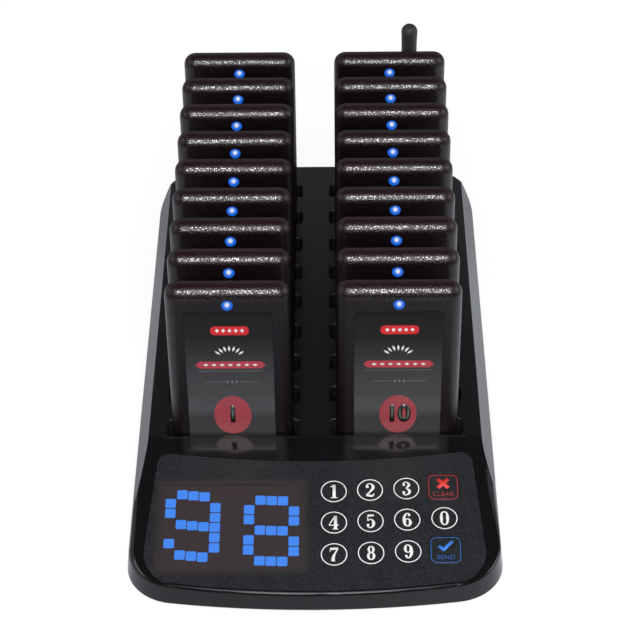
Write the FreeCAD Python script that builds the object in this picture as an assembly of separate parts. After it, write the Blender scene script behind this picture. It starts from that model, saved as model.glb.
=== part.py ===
"""Guest pager system: a counter-top charging base that calls and stores eighteen guest pagers.

Millimetres. +Z is up, the keypad end faces -Y, and X = 0 is the centre line. Z = 0 is the counter under
the rubber feet, and Y = 0 is the middle of the base's length. The sloped keypad has a frame of its own:
x across, v up the slope from the front edge of the base, and n square to the slope, with n = 0 on the rim.
"""
import FreeCAD, Part
import math
import os

V = FreeCAD.Vector

# ---- base: plan and profile ---------------------------------------------------------------------
BASE_W = 186.4            # width of the base at its lower edge
BASE_L = 335.5            # length of the base at its lower edge, measured on the centre line
FRONT_BOW_R = 510.0       # the front edge is one shallow arc, which the keypad and display rows repeat
FRONT_CORNER_R = 26.0
REAR_CORNER_R = 36.0
WALL_DRAFT_DEG = 6.0      # the side walls lean in as they rise
FOOT_PROUD = 2.0          # the rubber feet stand this far below the shell
DECK_H = 27.4             # shell's lower edge to the flat rack deck
LIP_H = 9.6               # shell's lower edge to the slope, at the very front
KNEE_AT = 90.73           # front edge of the base to where slope and deck would meet
KNEE_R = 50.0             # radius where the slope rolls over into the deck
EDGE_R_REAR = 1.2         # rounding of the top edge at the rear and its corners
EDGE_R_KNEE = 4.8         # beside the knee
EDGE_R_FRONT = 1.8        # and around the front lip
FACET_SIDE = 7.9          # side edge of the base to the flat facet that is cut along each side of the deck
FACET_LEAN_DEG = 31.0     # the facets lean out by this much, and run out on the keypad's slope
WALL_SPARE = 12.0         # the drafted walls are drawn this much higher, then cut to the top
WALL = 2.6                # side walls
TOP_WALL = 2.6            # deck and keypad floor
FIT_GAP = 0.15            # clearance round pieces that drop into a recess

# ---- rack and pagers ----------------------------------------------------------------------------
ROWS = 9
PAGER_W = 62.0
PAGER_H = 110.2
PAGER_T = 10.5
PAGER_TOP_R = 6.6         # upper corners, seen from the front
PAGER_FOOT_R = 6.6        # lower corners
PAGER_FACE_R = 5.8        # rounding all round the front face
PAGER_BACK_R = 4.0        # and round the back face
PAGER_FLAT = 0.4          # least flat left between two roundings, and inside a corner
PAGER_WALL = 1.8
FIRST_PAGER = 97.1        # front edge of the base to the face of the first pager
RACK_REAR = 22.3          # back of the last pager to the rear edge of the base
COLUMN_WEB = 16.0         # deck left between the two slots of a row
SLOT_DEPTH = 16.0
SLOT_SIDE_GAP = 3.0       # room at each end of a slot
SLOT_FACE_GAP = 0.6       # room in front of and behind a pager
SLOT_R = 2.0
SLOT_CHAMFER = 0.6
POCKET_WALL = 1.6

# ---- pager details ------------------------------------------------------------------------------
LABEL_W = 44.0
LABEL_H = 86.0
LABEL_DROP = 13.8         # top of the pager to the top of its label
LABEL_R = 2.0
LABEL_RECESS = 0.4
LABEL_T = 0.3
LED_DROP = 9.3            # top of the pager to its light
LED_D = 5.0
LED_GAP = 0.2             # light to the back of its lens
LENS_D = 5.6
LENS_PROUD = 2.3          # height of the lens's dome on the front face
LENS_GAP = 0.05           # lens to its hole, on the radius
PCB_T = 1.0               # pager's circuit board
PCB_W = 54.0
PCB_LIFT = 8.0            # lower edge of the board above the pager's lower end
PCB_TOP_GAP = 3.2         # board to the inside of the top wall
POST_H = 0.5              # posts of the back shell that carry the board
POST_D = 4.0
POST_X = 22.0
POST_INSET = 6.0
CELL_SIZE = (36.0, 4.0, 50.0)
CELL_LIFT = 30.0
MOTOR_D = 10.0
MOTOR_T = 3.0
BEEPER_D = 9.0
BEEPER_T = 2.6
PART_X = 16.0             # vibration motor and beeper each side of the centre
PART_DROP = 20.0          # and below the top of the pager
CONTACT_X = 15.0
CONTACT_SIZE = (8.0, 2.0, 10.0)

# ---- keypad: overlay, keys and display ----------------------------------------------------------
PANEL_FRONT = 1.8         # front edge of the base to the overlay, up the slope
PANEL_REAR = 80.5
PANEL_SIDE_REAR = 13.9    # side edge of the base to the overlay's rear corners
PANEL_SIDE_FRONT = 7.6    # and to where its sides meet the front arc
PANEL_REAR_R = 6.0
PANEL_FRONT_R = 20.0
PANEL_RECESS = 0.6
OVERLAY_T = 0.5
KEY_D = 13.6              # round number keys
KEY_SQ = 15.8             # clear and call keys
KEY_SQ_R = 3.0
KEY_COLUMNS = (0.12, 0.349, 0.579, 0.812)  # across, as shares of the overlay's half width at its rear
KEY_ROWS = (61.4, 42.6, 23.8)
KEY_TILT_DEG = 2.4        # the key rows climb to the right
KEY_TRAVEL = 0.4
KEY_EDGE_R = 0.25
KEY_FLANGE = 0.7
KEY_FLANGE_T = 0.6
KEY_STEM_D = 3.6
KEY_STEM_H = 0.4
SWITCH_D = 5.0
SWITCH_GAP = 0.05         # pressed key to its switch
DOT_W = 5.3
DOT_H = 5.7
DOT_R = 0.7
DOT_DEPTH = 1.0
DOT_PITCH_X = 5.6
DOT_PITCH_V = 6.0
DOT_COLS = 5
DOT_ROWS = 7
DIGITS = (-0.767, -0.272)  # middles of the two digits, as such shares
DIGIT_V = 20.4            # lowest dot row on the centre line
DISPLAY_MARGIN_X = 1.8
DISPLAY_MARGIN_V = 1.9
DISPLAY_GAP = 0.1         # top of the display block to the underside of the overlay
BOARD_GAP = 2.0           # keypad floor to its circuit board
BOARD_T = 1.6
BOARD_SIDE = 16.2         # side edge of the base to the control board
BOARD_FRONT = 8.4
BOARD_REAR = 78.0
BOARD_R = 12.0
BOARD_BOSSES = (-0.908, -0.021, 0.63, -0.021, 0.694)  # bosses that carry it, across, as such shares
BOARD_BOSSES_V = (71.5, 72.0, 73.5, 12.0, 12.0)
BOARD_BOSS_D = 5.5
BOARD_SCREW_D = 2.4
BOARD_SCREW_HEAD_D = 4.5
BOARD_SCREW_HEAD_H = 1.5
CHIP = (12.0, 12.0, 1.2)
CHIP_AT = (20.0, 50.0)
RADIO = (26.0, 18.0, 2.4)
RADIO_AT = (48.0, 52.0)
SOUNDER_D = 12.0
SOUNDER_H = 3.0
SOUNDER_AT = (-40.0, 72.0)

# ---- under the rack: charging board, cover, feet, screws ----------------------------------------
CHARGER_GAP = 1.0         # under the slot pockets
CHARGER_SIDE = 14.8       # side edge of the base to the board
CHARGER_LEAD = 8.0        # board in front of the first pager
CHARGER_REAR_GAP = 9.5    # rear edge of the base to the board
CHARGER_R = 20.0
POST_ROWS = (0, 2, 5, 7)  # the board's posts stand behind these rows of pagers
PIN_D = 2.0
PIN_HOLE_GAP = 0.3
COVER_T = 2.4
POST_COVER_D = 6.0
PEG_D = 2.8
PEG_HOLE_GAP = 0.1
SCREW_D = 2.9
SCREW_HEAD_D = 5.6
SCREW_HEAD_H = 1.7
SCREW_LEN = 8.0
THREAD_GAP = 0.05
BOSS_D = 8.0
BOSS_SIDE = 9.7           # side edge of the base to its screws
BOSS_FRONT = 40.0         # front edge of the base to the first pair
BOSS_ROWS = (0, 4, 7)     # the other pairs stand behind these rows of pagers
FOOT_D = 16.0
FOOT_RECESS = 1.0
FOOT_SIDE = 21.2          # side edge of the base to the middle of a foot
FOOT_FRONT = 34.0
FOOT_REAR = 29.5

# ---- rear: inlet, power slider, antenna ---------------------------------------------------------
REAR_PART_GAP = 0.4       # rear parts to the inside of the rear wall
INLET_SPACING = 22.0      # middle of the slider to the middle of the inlet
INLET_W = 9.2
INLET_L = 12.0
INLET_H = 10.8
INLET_BORE_D = 6.4
INLET_BORE_L = 9.0
INLET_PIN_D = 2.1
INLET_NOSE_D = 8.4
INLET_NOSE_L = 2.4
SLIDER_SIDE = 41.2        # side edge of the base to the slider
SLIDER_BODY = (13.0, 5.0, 5.0)
SLIDER_KNOB = (3.6, 2.2)  # width and height of the knob
SLIDER_TRAVEL = 3.0
SLIDER_PROUD = 1.0
ANTENNA_SIDE = 39.8       # side edge of the base to the antenna
ANTENNA_REAR = 14.5       # rear edge of the base to the antenna
ANTENNA_H = 105.0         # deck to tip
ANTENNA_D = 8.6
ANTENNA_TIP_D = 9.1
COLLAR_D = 9.4
COLLAR_H = 13.0
KNURLS = 24               # grooves round the collar
KNURL_D = 0.8             # they are round-bottomed
KNURL_END = 1.4           # plain ends of the collar, below and above the grooves
SOCKET_D = 6.2
SOCKET_H = 10.0
SOCKET_TAIL = 8.0
SOCKET_FLANGE_D = 9.0
SOCKET_FLANGE_T = 1.5
NUT_AF = 8.0
NUT_T = 2.4
NUT_GAP = 0.2
ANTENNA_BORE_GAP = 0.05   # running clearance on the socket, on the radius
ANTENNA_BORE_END = 0.6

# ---- values that follow from the sizes above ----------------------------------------------------
BASE_HALF = BASE_W / 2
FRONT_Y = -BASE_L / 2
SHELL_Z = FOOT_PROUD
DECK_Z = SHELL_Z + DECK_H
REAR_Y = BASE_L / 2
SLOPE = math.atan2(DECK_H - LIP_H, KNEE_AT)
DRAFT = math.tan(math.radians(WALL_DRAFT_DEG))
KNEE_RUN = KNEE_R * math.tan(SLOPE / 2)
KNEE_Y = FRONT_Y + KNEE_AT
LOFT_H = DECK_H + WALL_SPARE
SLOT_W = PAGER_W + 2 * SLOT_SIDE_GAP
SLOT_T = PAGER_T + 2 * SLOT_FACE_GAP
SLOT_Z = DECK_Z - SLOT_DEPTH
COLUMN_X = (SLOT_W + COLUMN_WEB) / 2
PAGER_PITCH = (BASE_L - FIRST_PAGER - RACK_REAR - PAGER_T) / (ROWS - 1)
PANEL_HALF_REAR = BASE_HALF - PANEL_SIDE_REAR
PANEL_HALF_FRONT = BASE_HALF - PANEL_SIDE_FRONT
BOARD_HALF = BASE_HALF - BOARD_SIDE
CHARGER_HALF = BASE_HALF - CHARGER_SIDE
SLIDER_X = SLIDER_SIDE - BASE_HALF
INLET_X = SLIDER_X + INLET_SPACING
ANTENNA_X = BASE_HALF - ANTENNA_SIDE
ANTENNA_Y = REAR_Y - ANTENNA_REAR
PINS_Y = PAGER_T - PAGER_WALL - POST_H - PCB_T - CONTACT_SIZE[1] / 2
OVERLAY_TOP = OVERLAY_T - PANEL_RECESS
FLOOR_N = -TOP_WALL
BOARD_N = FLOOR_N - BOARD_GAP
CHARGER_TOP = SLOT_Z - POCKET_WALL - CHARGER_GAP
CHARGER_REAR = REAR_Y - CHARGER_REAR_GAP
COVER_TOP = SHELL_Z + COVER_T


# ---- small helpers ------------------------------------------------------------------------------
def box(x0, x1, y0, y1, z0, z1):
    return Part.makeBox(x1 - x0, y1 - y0, z1 - z0, V(x0, y0, z0))


def rod(diameter, x, y, z0, z1):
    return Part.makeCylinder(diameter / 2, z1 - z0, V(x, y, z0))


def rod_y(diameter, x, z, y0, y1):
    return Part.makeCylinder(diameter / 2, y1 - y0, V(x, y0, z), V(0, 1, 0))


def loop(points):
    """Closed wire of straight edges."""
    return Part.Wire([Part.LineSegment(a, b).toShape() for a, b in zip(points, points[1:] + points[:1])])


def rounded_wire(width, height, r_low, r_high, x, y, z):
    """Rounded rectangle in a level plane, with its own radius for the lower and the upper corners."""
    edges = []
    corners = ((1, -1, r_low), (1, 1, r_high), (-1, 1, r_high), (-1, -1, r_low))
    ends = []
    for sx, sy, r in corners:
        cx, cy = x + sx * (width / 2 - r), y + sy * (height / 2 - r)
        start = V(cx, cy + sy * r, z)
        side = V(cx + sx * r, cy, z)
        middle = V(cx + sx * r * math.sqrt(0.5), cy + sy * r * math.sqrt(0.5), z)
        first, last = (start, side) if sx * sy < 0 else (side, start)
        ends.append((first, last))
        edges.append(Part.Arc(first, middle, last).toShape())
    for i in range(4):
        edges.insert(2 * i + 1, Part.LineSegment(ends[i][1], ends[(i + 1) % 4][0]).toShape())
    return Part.Wire(edges)


def slab(width, height, radius, x, y, z0, z1):
    wire = rounded_wire(width, height, radius, radius, x, y, z0)
    return Part.Face(wire).extrude(V(0, 0, z1 - z0))


def on_slope(shape):
    """Move a shape from the keypad's own frame into the base."""
    placed = shape.copy()
    tilt = FreeCAD.Rotation(V(1, 0, 0), math.degrees(SLOPE))
    frame = FreeCAD.Placement(V(0, FRONT_Y, SHELL_Z + LIP_H), tilt)
    placed.Placement = frame.multiply(placed.Placement)
    return placed


def save(name, solids):
    shape = solids[0] if len(solids) == 1 else Part.makeCompound(solids)
    shape.exportStep(os.path.join("parts", name + ".step"))


# ---- outer form of the base ---------------------------------------------------------------------
def plan_wire(inset, z):
    """Outline of the base at one level, moved inwards by inset."""
    half = BASE_HALF - inset
    bow, corner, rear_r = FRONT_BOW_R - inset, FRONT_CORNER_R - inset, REAR_CORNER_R - inset
    bow_y = FRONT_Y + FRONT_BOW_R
    rear = REAR_Y - inset
    cx = half - corner
    cy = bow_y - math.sqrt((bow - corner) ** 2 - cx ** 2)
    reach = math.hypot(cx, cy - bow_y)
    tx, ty = cx / reach * bow, bow_y + (cy - bow_y) / reach * bow
    turn = math.atan2(cy - bow_y, cx) / 2
    mx, my = cx + corner * math.cos(turn), cy + corner * math.sin(turn)
    k = rear_r * (1 - math.sqrt(0.5))

    def at(x, y):
        return V(x, y, z)

    return Part.Wire([
        Part.Arc(at(-tx, ty), at(0, bow_y - bow), at(tx, ty)).toShape(),
        Part.Arc(at(tx, ty), at(mx, my), at(half, cy)).toShape(),
        Part.LineSegment(at(half, cy), at(half, rear - rear_r)).toShape(),
        Part.Arc(at(half, rear - rear_r), at(half - k, rear - k), at(half - rear_r, rear)).toShape(),
        Part.LineSegment(at(half - rear_r, rear), at(rear_r - half, rear)).toShape(),
        Part.Arc(at(rear_r - half, rear), at(k - half, rear - k), at(-half, rear - rear_r)).toShape(),
        Part.LineSegment(at(-half, rear - rear_r), at(-half, cy)).toShape(),
        Part.Arc(at(-half, cy), at(-mx, my), at(-tx, ty)).toShape(),
    ])


def under_profile(drop):
    """Everything under the slope, the knee and the deck, lowered by drop."""
    far = 2 * BASE_L
    start_y, end_y = FRONT_Y - BASE_L, FRONT_Y + 2 * BASE_L
    side = -BASE_W
    slope_end_y = KNEE_Y - KNEE_RUN * math.cos(SLOPE) + drop * math.sin(SLOPE)
    slope_end_z = DECK_Z - KNEE_RUN * math.sin(SLOPE) - drop * math.cos(SLOPE)
    start_z = slope_end_z - (slope_end_y - start_y) * math.tan(SLOPE)
    knee_r = KNEE_R - drop
    deck_y = KNEE_Y + KNEE_RUN
    mid = V(side, deck_y - knee_r * math.sin(SLOPE / 2), DECK_Z - KNEE_R + knee_r * math.cos(SLOPE / 2))
    a, b = V(side, start_y, start_z), V(side, slope_end_y, slope_end_z)
    c, d = V(side, deck_y, DECK_Z - drop), V(side, end_y, DECK_Z - drop)
    e, f = V(side, end_y, -far), V(side, start_y, -far)
    edges = [Part.LineSegment(a, b).toShape(), Part.Arc(b, mid, c).toShape()]
    edges += [Part.LineSegment(p, q).toShape() for p, q in ((c, d), (d, e), (e, f), (f, a))]
    return Part.Face(Part.Wire(edges)).extrude(V(2 * BASE_W, 0, 0))


def beyond_facets(inset):
    """Everything outside the flat facets of the two sides, with the facets moved inwards by inset."""
    outside = box(-inset, BASE_W, -BASE_L, BASE_L, -BASE_W, BASE_W)
    crease = V(BASE_HALF - FACET_SIDE, 0, DECK_Z)
    outside.Placement = FreeCAD.Placement(crease, FreeCAD.Rotation(V(0, 1, 0), -FACET_LEAN_DEG))
    return [outside, outside.mirror(V(0, 0, 0), V(1, 0, 0))]


def drafted_form(inset, drop):
    """The base as one solid, with its walls moved in and its top moved down, before its facets are cut."""
    walls = Part.makeLoft([plan_wire(inset, SHELL_Z), plan_wire(inset + LOFT_H * DRAFT, SHELL_Z + LOFT_H)],
                          True, True)
    return walls.common(under_profile(drop)).Solids[0]


def base_form(inset, drop):
    """The same solid with its facets, moved in as the walls are."""
    return drafted_form(inset, drop).cut(beyond_facets(inset)).Solids[0]


def top_height(y):
    """Height of the slope, knee or deck on the centre line."""
    if y < KNEE_Y - KNEE_RUN * math.cos(SLOPE):
        return SHELL_Z + LIP_H + (y - FRONT_Y) * math.tan(SLOPE)
    if y > KNEE_Y + KNEE_RUN:
        return DECK_Z
    return DECK_Z - KNEE_R + math.sqrt(KNEE_R ** 2 - (y - KNEE_Y - KNEE_RUN) ** 2)


def edge_radius(y):
    """The top edge is rounded most beside the knee, and less and less towards the front and the rear."""
    places = (FRONT_Y + FRONT_CORNER_R + FRONT_CORNER_R / 4, KNEE_Y - KNEE_RUN * math.cos(SLOPE),
              KNEE_Y + KNEE_RUN, REAR_Y - REAR_CORNER_R)
    radii = (EDGE_R_FRONT, EDGE_R_KNEE, EDGE_R_KNEE, EDGE_R_REAR)
    for i in range(3):
        if y < places[i + 1]:
            share = max(y - places[i], 0.0) / (places[i + 1] - places[i])
            return radii[i] + (radii[i + 1] - radii[i]) * share
    return EDGE_R_REAR


def rounded_form(document):
    """Outer form: its top edge is rounded by a radius that changes along the edge, then the facets are cut."""
    plain = drafted_form(0.0, 0.0)
    rows = []
    for number, edge in enumerate(plain.Edges, start=1):
        middle = edge.valueAt((edge.FirstParameter + edge.LastParameter) / 2)
        first, last = edge.valueAt(edge.FirstParameter), edge.valueAt(edge.LastParameter)
        level = all(abs(p.z - top_height(p.y)) < 0.05 for p in (first, middle, last))
        crosses = abs(middle.x) < 1.0 and abs(first.x) > BASE_HALF / 2
        at_end = middle.y < FRONT_Y + FRONT_CORNER_R or middle.y > REAR_Y - REAR_CORNER_R
        if level and (at_end or not crosses):
            on_front = middle.y < FRONT_Y + FRONT_CORNER_R
            radii = [EDGE_R_FRONT if on_front else edge_radius(p.y) for p in (first, last)]
            rows.append((number, radii[0], radii[1]))
    body = document.addObject("Part::Feature", "PlainForm")
    body.Shape = plain
    rounding = document.addObject("Part::Fillet", "RoundedForm")
    rounding.Base = body
    rounding.Edges = rows
    document.recompute()
    return rounding.Shape.cut(beyond_facets(0.0)).Solids[0]


# ---- where the repeated pieces stand ------------------------------------------------------------
def pager_places():
    """Number of each pager with the middle of its front face: 1 to 9 on the left, 10 to 18 on the right."""
    places = []
    for column, side in enumerate((-1, 1)):
        for row in range(ROWS):
            number = column * ROWS + row + 1
            places.append((number, side * COLUMN_X, FRONT_Y + FIRST_PAGER + row * PAGER_PITCH))
    return places


def gap_behind(row):
    """Middle (y) of the gap behind a row of pagers."""
    return FRONT_Y + FIRST_PAGER + (row + 0.5) * PAGER_PITCH + PAGER_T / 2


def across(share):
    """x for a share of the overlay's half width."""
    return share * PANEL_HALF_REAR


def key_places():
    """Name, half width and middle (x, v) of each key."""
    names = (("1", "2", "3", "clear"), ("4", "5", "6", "0"), ("7", "8", "9", "call"))
    places = []
    for row, v in zip(names, KEY_ROWS):
        for name, share in zip(row, KEY_COLUMNS):
            x = across(share)
            size = KEY_SQ if name in ("clear", "call") else KEY_D
            places.append((name, size, x, v + x * math.tan(math.radians(KEY_TILT_DEG))))
    return places


def dot_places():
    """Middle (x, v) of every dot of the display; its rows follow the arc of the front edge."""
    places = []
    for digit in DIGITS:
        for col in range(DOT_COLS):
            x = across(digit) + (col - (DOT_COLS - 1) / 2) * DOT_PITCH_X
            for row in range(DOT_ROWS):
                places.append((x, DIGIT_V + row * DOT_PITCH_V + x * x / (2 * FRONT_BOW_R)))
    return places


def display_rect():
    """Low and high x and v of the display block."""
    xs = [p[0] for p in dot_places()]
    vs = [p[1] for p in dot_places()]
    return (min(xs) - DOT_W / 2 - DISPLAY_MARGIN_X, max(xs) + DOT_W / 2 + DISPLAY_MARGIN_X,
            min(vs) - DOT_H / 2 - DISPLAY_MARGIN_V, max(vs) + DOT_H / 2 + DISPLAY_MARGIN_V)


def housing_bosses():
    """Middle (x, y) of every screw boss that joins the housing to the cover."""
    rows = [FRONT_Y + BOSS_FRONT] + [gap_behind(row) for row in BOSS_ROWS]
    return [(s * (BASE_HALF - BOSS_SIDE), y) for s in (-1, 1) for y in rows]


def board_bosses():
    """Middle (x, v) of every boss under the keypad that carries the control board."""
    return [(across(share), v) for share, v in zip(BOARD_BOSSES, BOARD_BOSSES_V)]


def charger_posts():
    """Middle (y) of the posts that carry the charging board."""
    return [gap_behind(row) for row in POST_ROWS]


def foot_places():
    rows = (FRONT_Y + FOOT_FRONT, REAR_Y - FOOT_REAR)
    return [(s * (BASE_HALF - FOOT_SIDE), y) for s in (-1, 1) for y in rows]


def wall_y(z):
    """Inside of the rear wall at a height."""
    return REAR_Y - WALL - (z - SHELL_Z) * DRAFT


# ---- keypad shapes, in the keypad's own frame ---------------------------------------------------
def panel_prism(grow, n0, n1):
    """Slab with the outline of the overlay: arcs at front and rear, and sides that flare to the front."""
    half_rear, half_front = PANEL_HALF_REAR + grow, PANEL_HALF_FRONT + grow
    front, rear = PANEL_FRONT - grow, PANEL_REAR + grow

    def bow(x):
        return x * x / (2 * FRONT_BOW_R)

    a, b = V(-half_front, front + bow(half_front), n0), V(half_front, front + bow(half_front), n0)
    c, d = V(half_rear, rear + bow(half_rear), n0), V(-half_rear, rear + bow(half_rear), n0)
    wire = Part.Wire([
        Part.Arc(a, V(0, front, n0), b).toShape(), Part.LineSegment(b, c).toShape(),
        Part.Arc(c, V(0, rear, n0), d).toShape(), Part.LineSegment(d, a).toShape()])
    prism = Part.Face(wire).extrude(V(0, 0, n1 - n0))
    for radius, corner_v in ((PANEL_REAR_R, c.y), (PANEL_FRONT_R, a.y)):
        upright = []
        for edge in prism.Edges:
            low, high = edge.Vertexes[0].Point, edge.Vertexes[-1].Point
            if abs(low.y - corner_v) < 0.01 and abs(high.y - corner_v) < 0.01 and abs(low.x - high.x) < 0.01:
                upright.append(edge)
        prism = prism.makeFillet(radius + grow, upright)
    return prism


def key_prism(name, size, x, v, grow, n0, n1):
    width = size + 2 * grow
    radius = KEY_SQ_R + grow if name in ("clear", "call") else width / 2 - 0.001
    if name in ("clear", "call"):
        return slab(width, width, radius, x, v, n0, n1)
    return rod(width, x, v, n0, n1)


def make_overlay():
    sheet = panel_prism(0.0, -PANEL_RECESS, OVERLAY_TOP)
    holes = [key_prism(*key, FIT_GAP, -PANEL_RECESS - 1, OVERLAY_TOP + 1) for key in key_places()]
    save("panel_overlay", [on_slope(sheet.cut(holes))])


def make_keys():
    switch_n = FLOOR_N - KEY_FLANGE_T - KEY_STEM_H
    for key in key_places():
        name, size, x, v = key
        cap = key_prism(*key, 0.0, FLOOR_N, OVERLAY_TOP)
        rim = [e for e in cap.Edges if all(abs(w.Point.z - OVERLAY_TOP) < 0.001 for w in e.Vertexes)]
        cap = cap.makeFillet(KEY_EDGE_R, rim)
        flange = key_prism(*key, KEY_FLANGE, FLOOR_N - KEY_FLANGE_T, FLOOR_N)
        stem = rod(KEY_STEM_D, x, v, switch_n, FLOOR_N - KEY_FLANGE_T)
        save("key_" + name, [on_slope(cap.fuse([flange, stem]).removeSplitter().Solids[0])])


def make_display():
    x0, x1, v0, v1 = display_rect()
    top = -PANEL_RECESS - DISPLAY_GAP
    body = box(x0, x1, v0, v1, BOARD_N, top)
    dots = [slab(DOT_W, DOT_H, DOT_R, x, v, top - DOT_DEPTH, top) for x, v in dot_places()]
    frame = body.cut(dots)
    save("display_block", [on_slope(s) for s in frame.Solids + dots])


def board_slab():
    middle_v = (BOARD_FRONT + BOARD_REAR) / 2
    return slab(2 * BOARD_HALF, BOARD_REAR - BOARD_FRONT, BOARD_R, 0, middle_v, BOARD_N - BOARD_T, BOARD_N)


def make_control_board():
    board = board_slab()
    holes = [rod(BOARD_SCREW_D + 2 * FIT_GAP, x, v, BOARD_N - BOARD_T - 1, BOARD_N + 1)
             for x, v in board_bosses()]
    board = board.cut(holes)
    low = BOARD_N - BOARD_T
    switch_top = FLOOR_N - KEY_FLANGE_T - KEY_STEM_H - KEY_TRAVEL - SWITCH_GAP
    switches = [rod(SWITCH_D, x, v, BOARD_N, switch_top) for name, size, x, v in key_places()]
    chip = slab(CHIP[0], CHIP[1], 0.5, *CHIP_AT, low - CHIP[2], low)
    radio = slab(RADIO[0], RADIO[1], 0.5, *RADIO_AT, low - RADIO[2], low)
    sounder = rod(SOUNDER_D, *SOUNDER_AT, low - SOUNDER_H, low)
    save("control_board", [on_slope(s) for s in [board, chip, radio, sounder] + switches])


# ---- housing ------------------------------------------------------------------------------------
def slot_middle(pager_y):
    return pager_y + PAGER_T / 2


def slot_prism(x, y, grow, z0, z1):
    return slab(SLOT_W + 2 * grow, SLOT_T + 2 * grow, SLOT_R + grow, x, slot_middle(y), z0, z1)


def slot_mouth(x, y):
    """Chamfer round the mouth of a slot."""
    y = slot_middle(y)
    low, high = DECK_Z - SLOT_CHAMFER, DECK_Z + SLOT_CHAMFER
    small = rounded_wire(SLOT_W, SLOT_T, SLOT_R, SLOT_R, x, y, low)
    grow = 2 * SLOT_CHAMFER
    wide = rounded_wire(SLOT_W + 2 * grow, SLOT_T + 2 * grow, SLOT_R + grow, SLOT_R + grow, x, y, high)
    return Part.makeLoft([small, wide], True, True)


def pin_places():
    """Middle (x, y) of every charging pin: two under each pager."""
    return [(x + s * CONTACT_X, y + PINS_Y) for number, x, y in pager_places() for s in (-1, 1)]


def inlet_z():
    return CHARGER_TOP + INLET_H / 2


def inlet_rear():
    return wall_y(inlet_z() + INLET_H / 2) - REAR_PART_GAP


def slider_z():
    return CHARGER_TOP + SLIDER_BODY[2] / 2


def slider_rear():
    return wall_y(slider_z() + SLIDER_BODY[2] / 2) - REAR_PART_GAP


def make_housing(document):
    core = base_form(WALL / 2, TOP_WALL / 2)
    shell = rounded_form(document).cut(base_form(WALL, TOP_WALL))
    pockets = [slot_prism(x, y, POCKET_WALL, SLOT_Z - POCKET_WALL, DECK_Z - TOP_WALL / 2)
               for number, x, y in pager_places()]
    bosses = [rod(BOSS_D, x, y, COVER_TOP, DECK_Z).common(core) for x, y in housing_bosses()]
    bosses += [on_slope(rod(BOARD_BOSS_D, x, v, BOARD_N, FLOOR_N + TOP_WALL / 4)) for x, v in board_bosses()]
    housing = shell.fuse(pockets + bosses)
    cuts = [slot_prism(x, y, 0.0, SLOT_Z, DECK_Z + 1) for number, x, y in pager_places()]
    cuts += [slot_mouth(x, y) for number, x, y in pager_places()]
    cuts += [rod(PIN_D + 2 * PIN_HOLE_GAP, x, y, SLOT_Z - POCKET_WALL - 1, SLOT_Z + 1)
             for x, y in pin_places()]
    cuts += [rod(SCREW_D + 2 * THREAD_GAP, x, y, SHELL_Z, COVER_TOP + SCREW_LEN - SCREW_HEAD_H)
             .common(base_form(WALL, TOP_WALL)) for x, y in housing_bosses()]
    cuts += [on_slope(rod(BOARD_SCREW_D + 2 * THREAD_GAP, x, v, BOARD_N - 1, FLOOR_N + TOP_WALL / 3))
             for x, v in board_bosses()]
    cuts.append(on_slope(panel_prism(FIT_GAP, -PANEL_RECESS, TOP_WALL)))
    cuts += [on_slope(key_prism(*key, FIT_GAP, 2 * FLOOR_N, 1.0)) for key in key_places()]
    x0, x1, v0, v1 = display_rect()
    cuts.append(on_slope(box(x0 - FIT_GAP, x1 + FIT_GAP, v0 - FIT_GAP, v1 + FIT_GAP, FLOOR_N - 1, 1.0)))
    cuts.append(rod(SOCKET_D + 2 * FIT_GAP, ANTENNA_X, ANTENNA_Y, DECK_Z - 2 * TOP_WALL, DECK_Z + 1))
    cuts.append(rod_y(INLET_NOSE_D + 2 * FIT_GAP, INLET_X, inlet_z(), inlet_rear(), REAR_Y + 1))
    half_slot = SLIDER_KNOB[0] / 2 + FIT_GAP
    cuts.append(box(SLIDER_X - half_slot, SLIDER_X + half_slot + SLIDER_TRAVEL, slider_rear(), REAR_Y + 1,
                    slider_z() - SLIDER_KNOB[1] / 2 - FIT_GAP, slider_z() + SLIDER_KNOB[1] / 2 + FIT_GAP))
    save("upper_housing", housing.cut(cuts).Solids)


# ---- bottom cover, feet, screws -----------------------------------------------------------------
def make_cover():
    inset = WALL + FIT_GAP
    plate = Part.makeLoft([plan_wire(inset, SHELL_Z), plan_wire(inset + COVER_T * DRAFT, COVER_TOP)],
                          True, True)
    board_low = CHARGER_TOP - BOARD_T
    posts = [rod(POST_COVER_D, 0, y, COVER_TOP - COVER_T / 2, board_low) for y in charger_posts()]
    pegs = [rod(PEG_D, 0, y, COVER_TOP, CHARGER_TOP + POCKET_WALL) for y in charger_posts()]
    rests = [rod(POST_COVER_D, s * (CHARGER_HALF - POST_COVER_D), y, COVER_TOP - COVER_T / 2, board_low)
             for s in (-1, 1) for y in charger_posts()]
    cover = plate.fuse(posts + pegs + rests)
    cuts = []
    for x, y in housing_bosses():
        cuts.append(rod(SCREW_D + 2 * FIT_GAP, x, y, SHELL_Z - 1, COVER_TOP + 1))
        cuts.append(Part.makeCone(SCREW_HEAD_D / 2 + FIT_GAP, SCREW_D / 2 + FIT_GAP, SCREW_HEAD_H,
                                  V(x, y, SHELL_Z)))
    cuts += [rod(FOOT_D + 2 * FIT_GAP, x, y, SHELL_Z - 1, SHELL_Z + FOOT_RECESS) for x, y in foot_places()]
    save("bottom_cover", [cover.cut(cuts).Solids[0]])


def make_feet():
    feet = []
    for x, y in foot_places():
        foot = rod(FOOT_D, x, y, 0, SHELL_Z + FOOT_RECESS)
        rim = [e for e in foot.Edges if all(abs(w.Point.z) < 0.001 for w in e.Vertexes)]
        feet.append(foot.makeFillet(FOOT_PROUD / 3, rim))
    save("rubber_feet", feet)


def cross_cut(reach, depth, width):
    """Cross recess of a screw head, with its mouth at z = 0."""
    across_x = box(-reach, reach, -width / 2, width / 2, 0, depth)
    return across_x.fuse(box(-width / 2, width / 2, -reach, reach, 0, depth))


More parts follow.
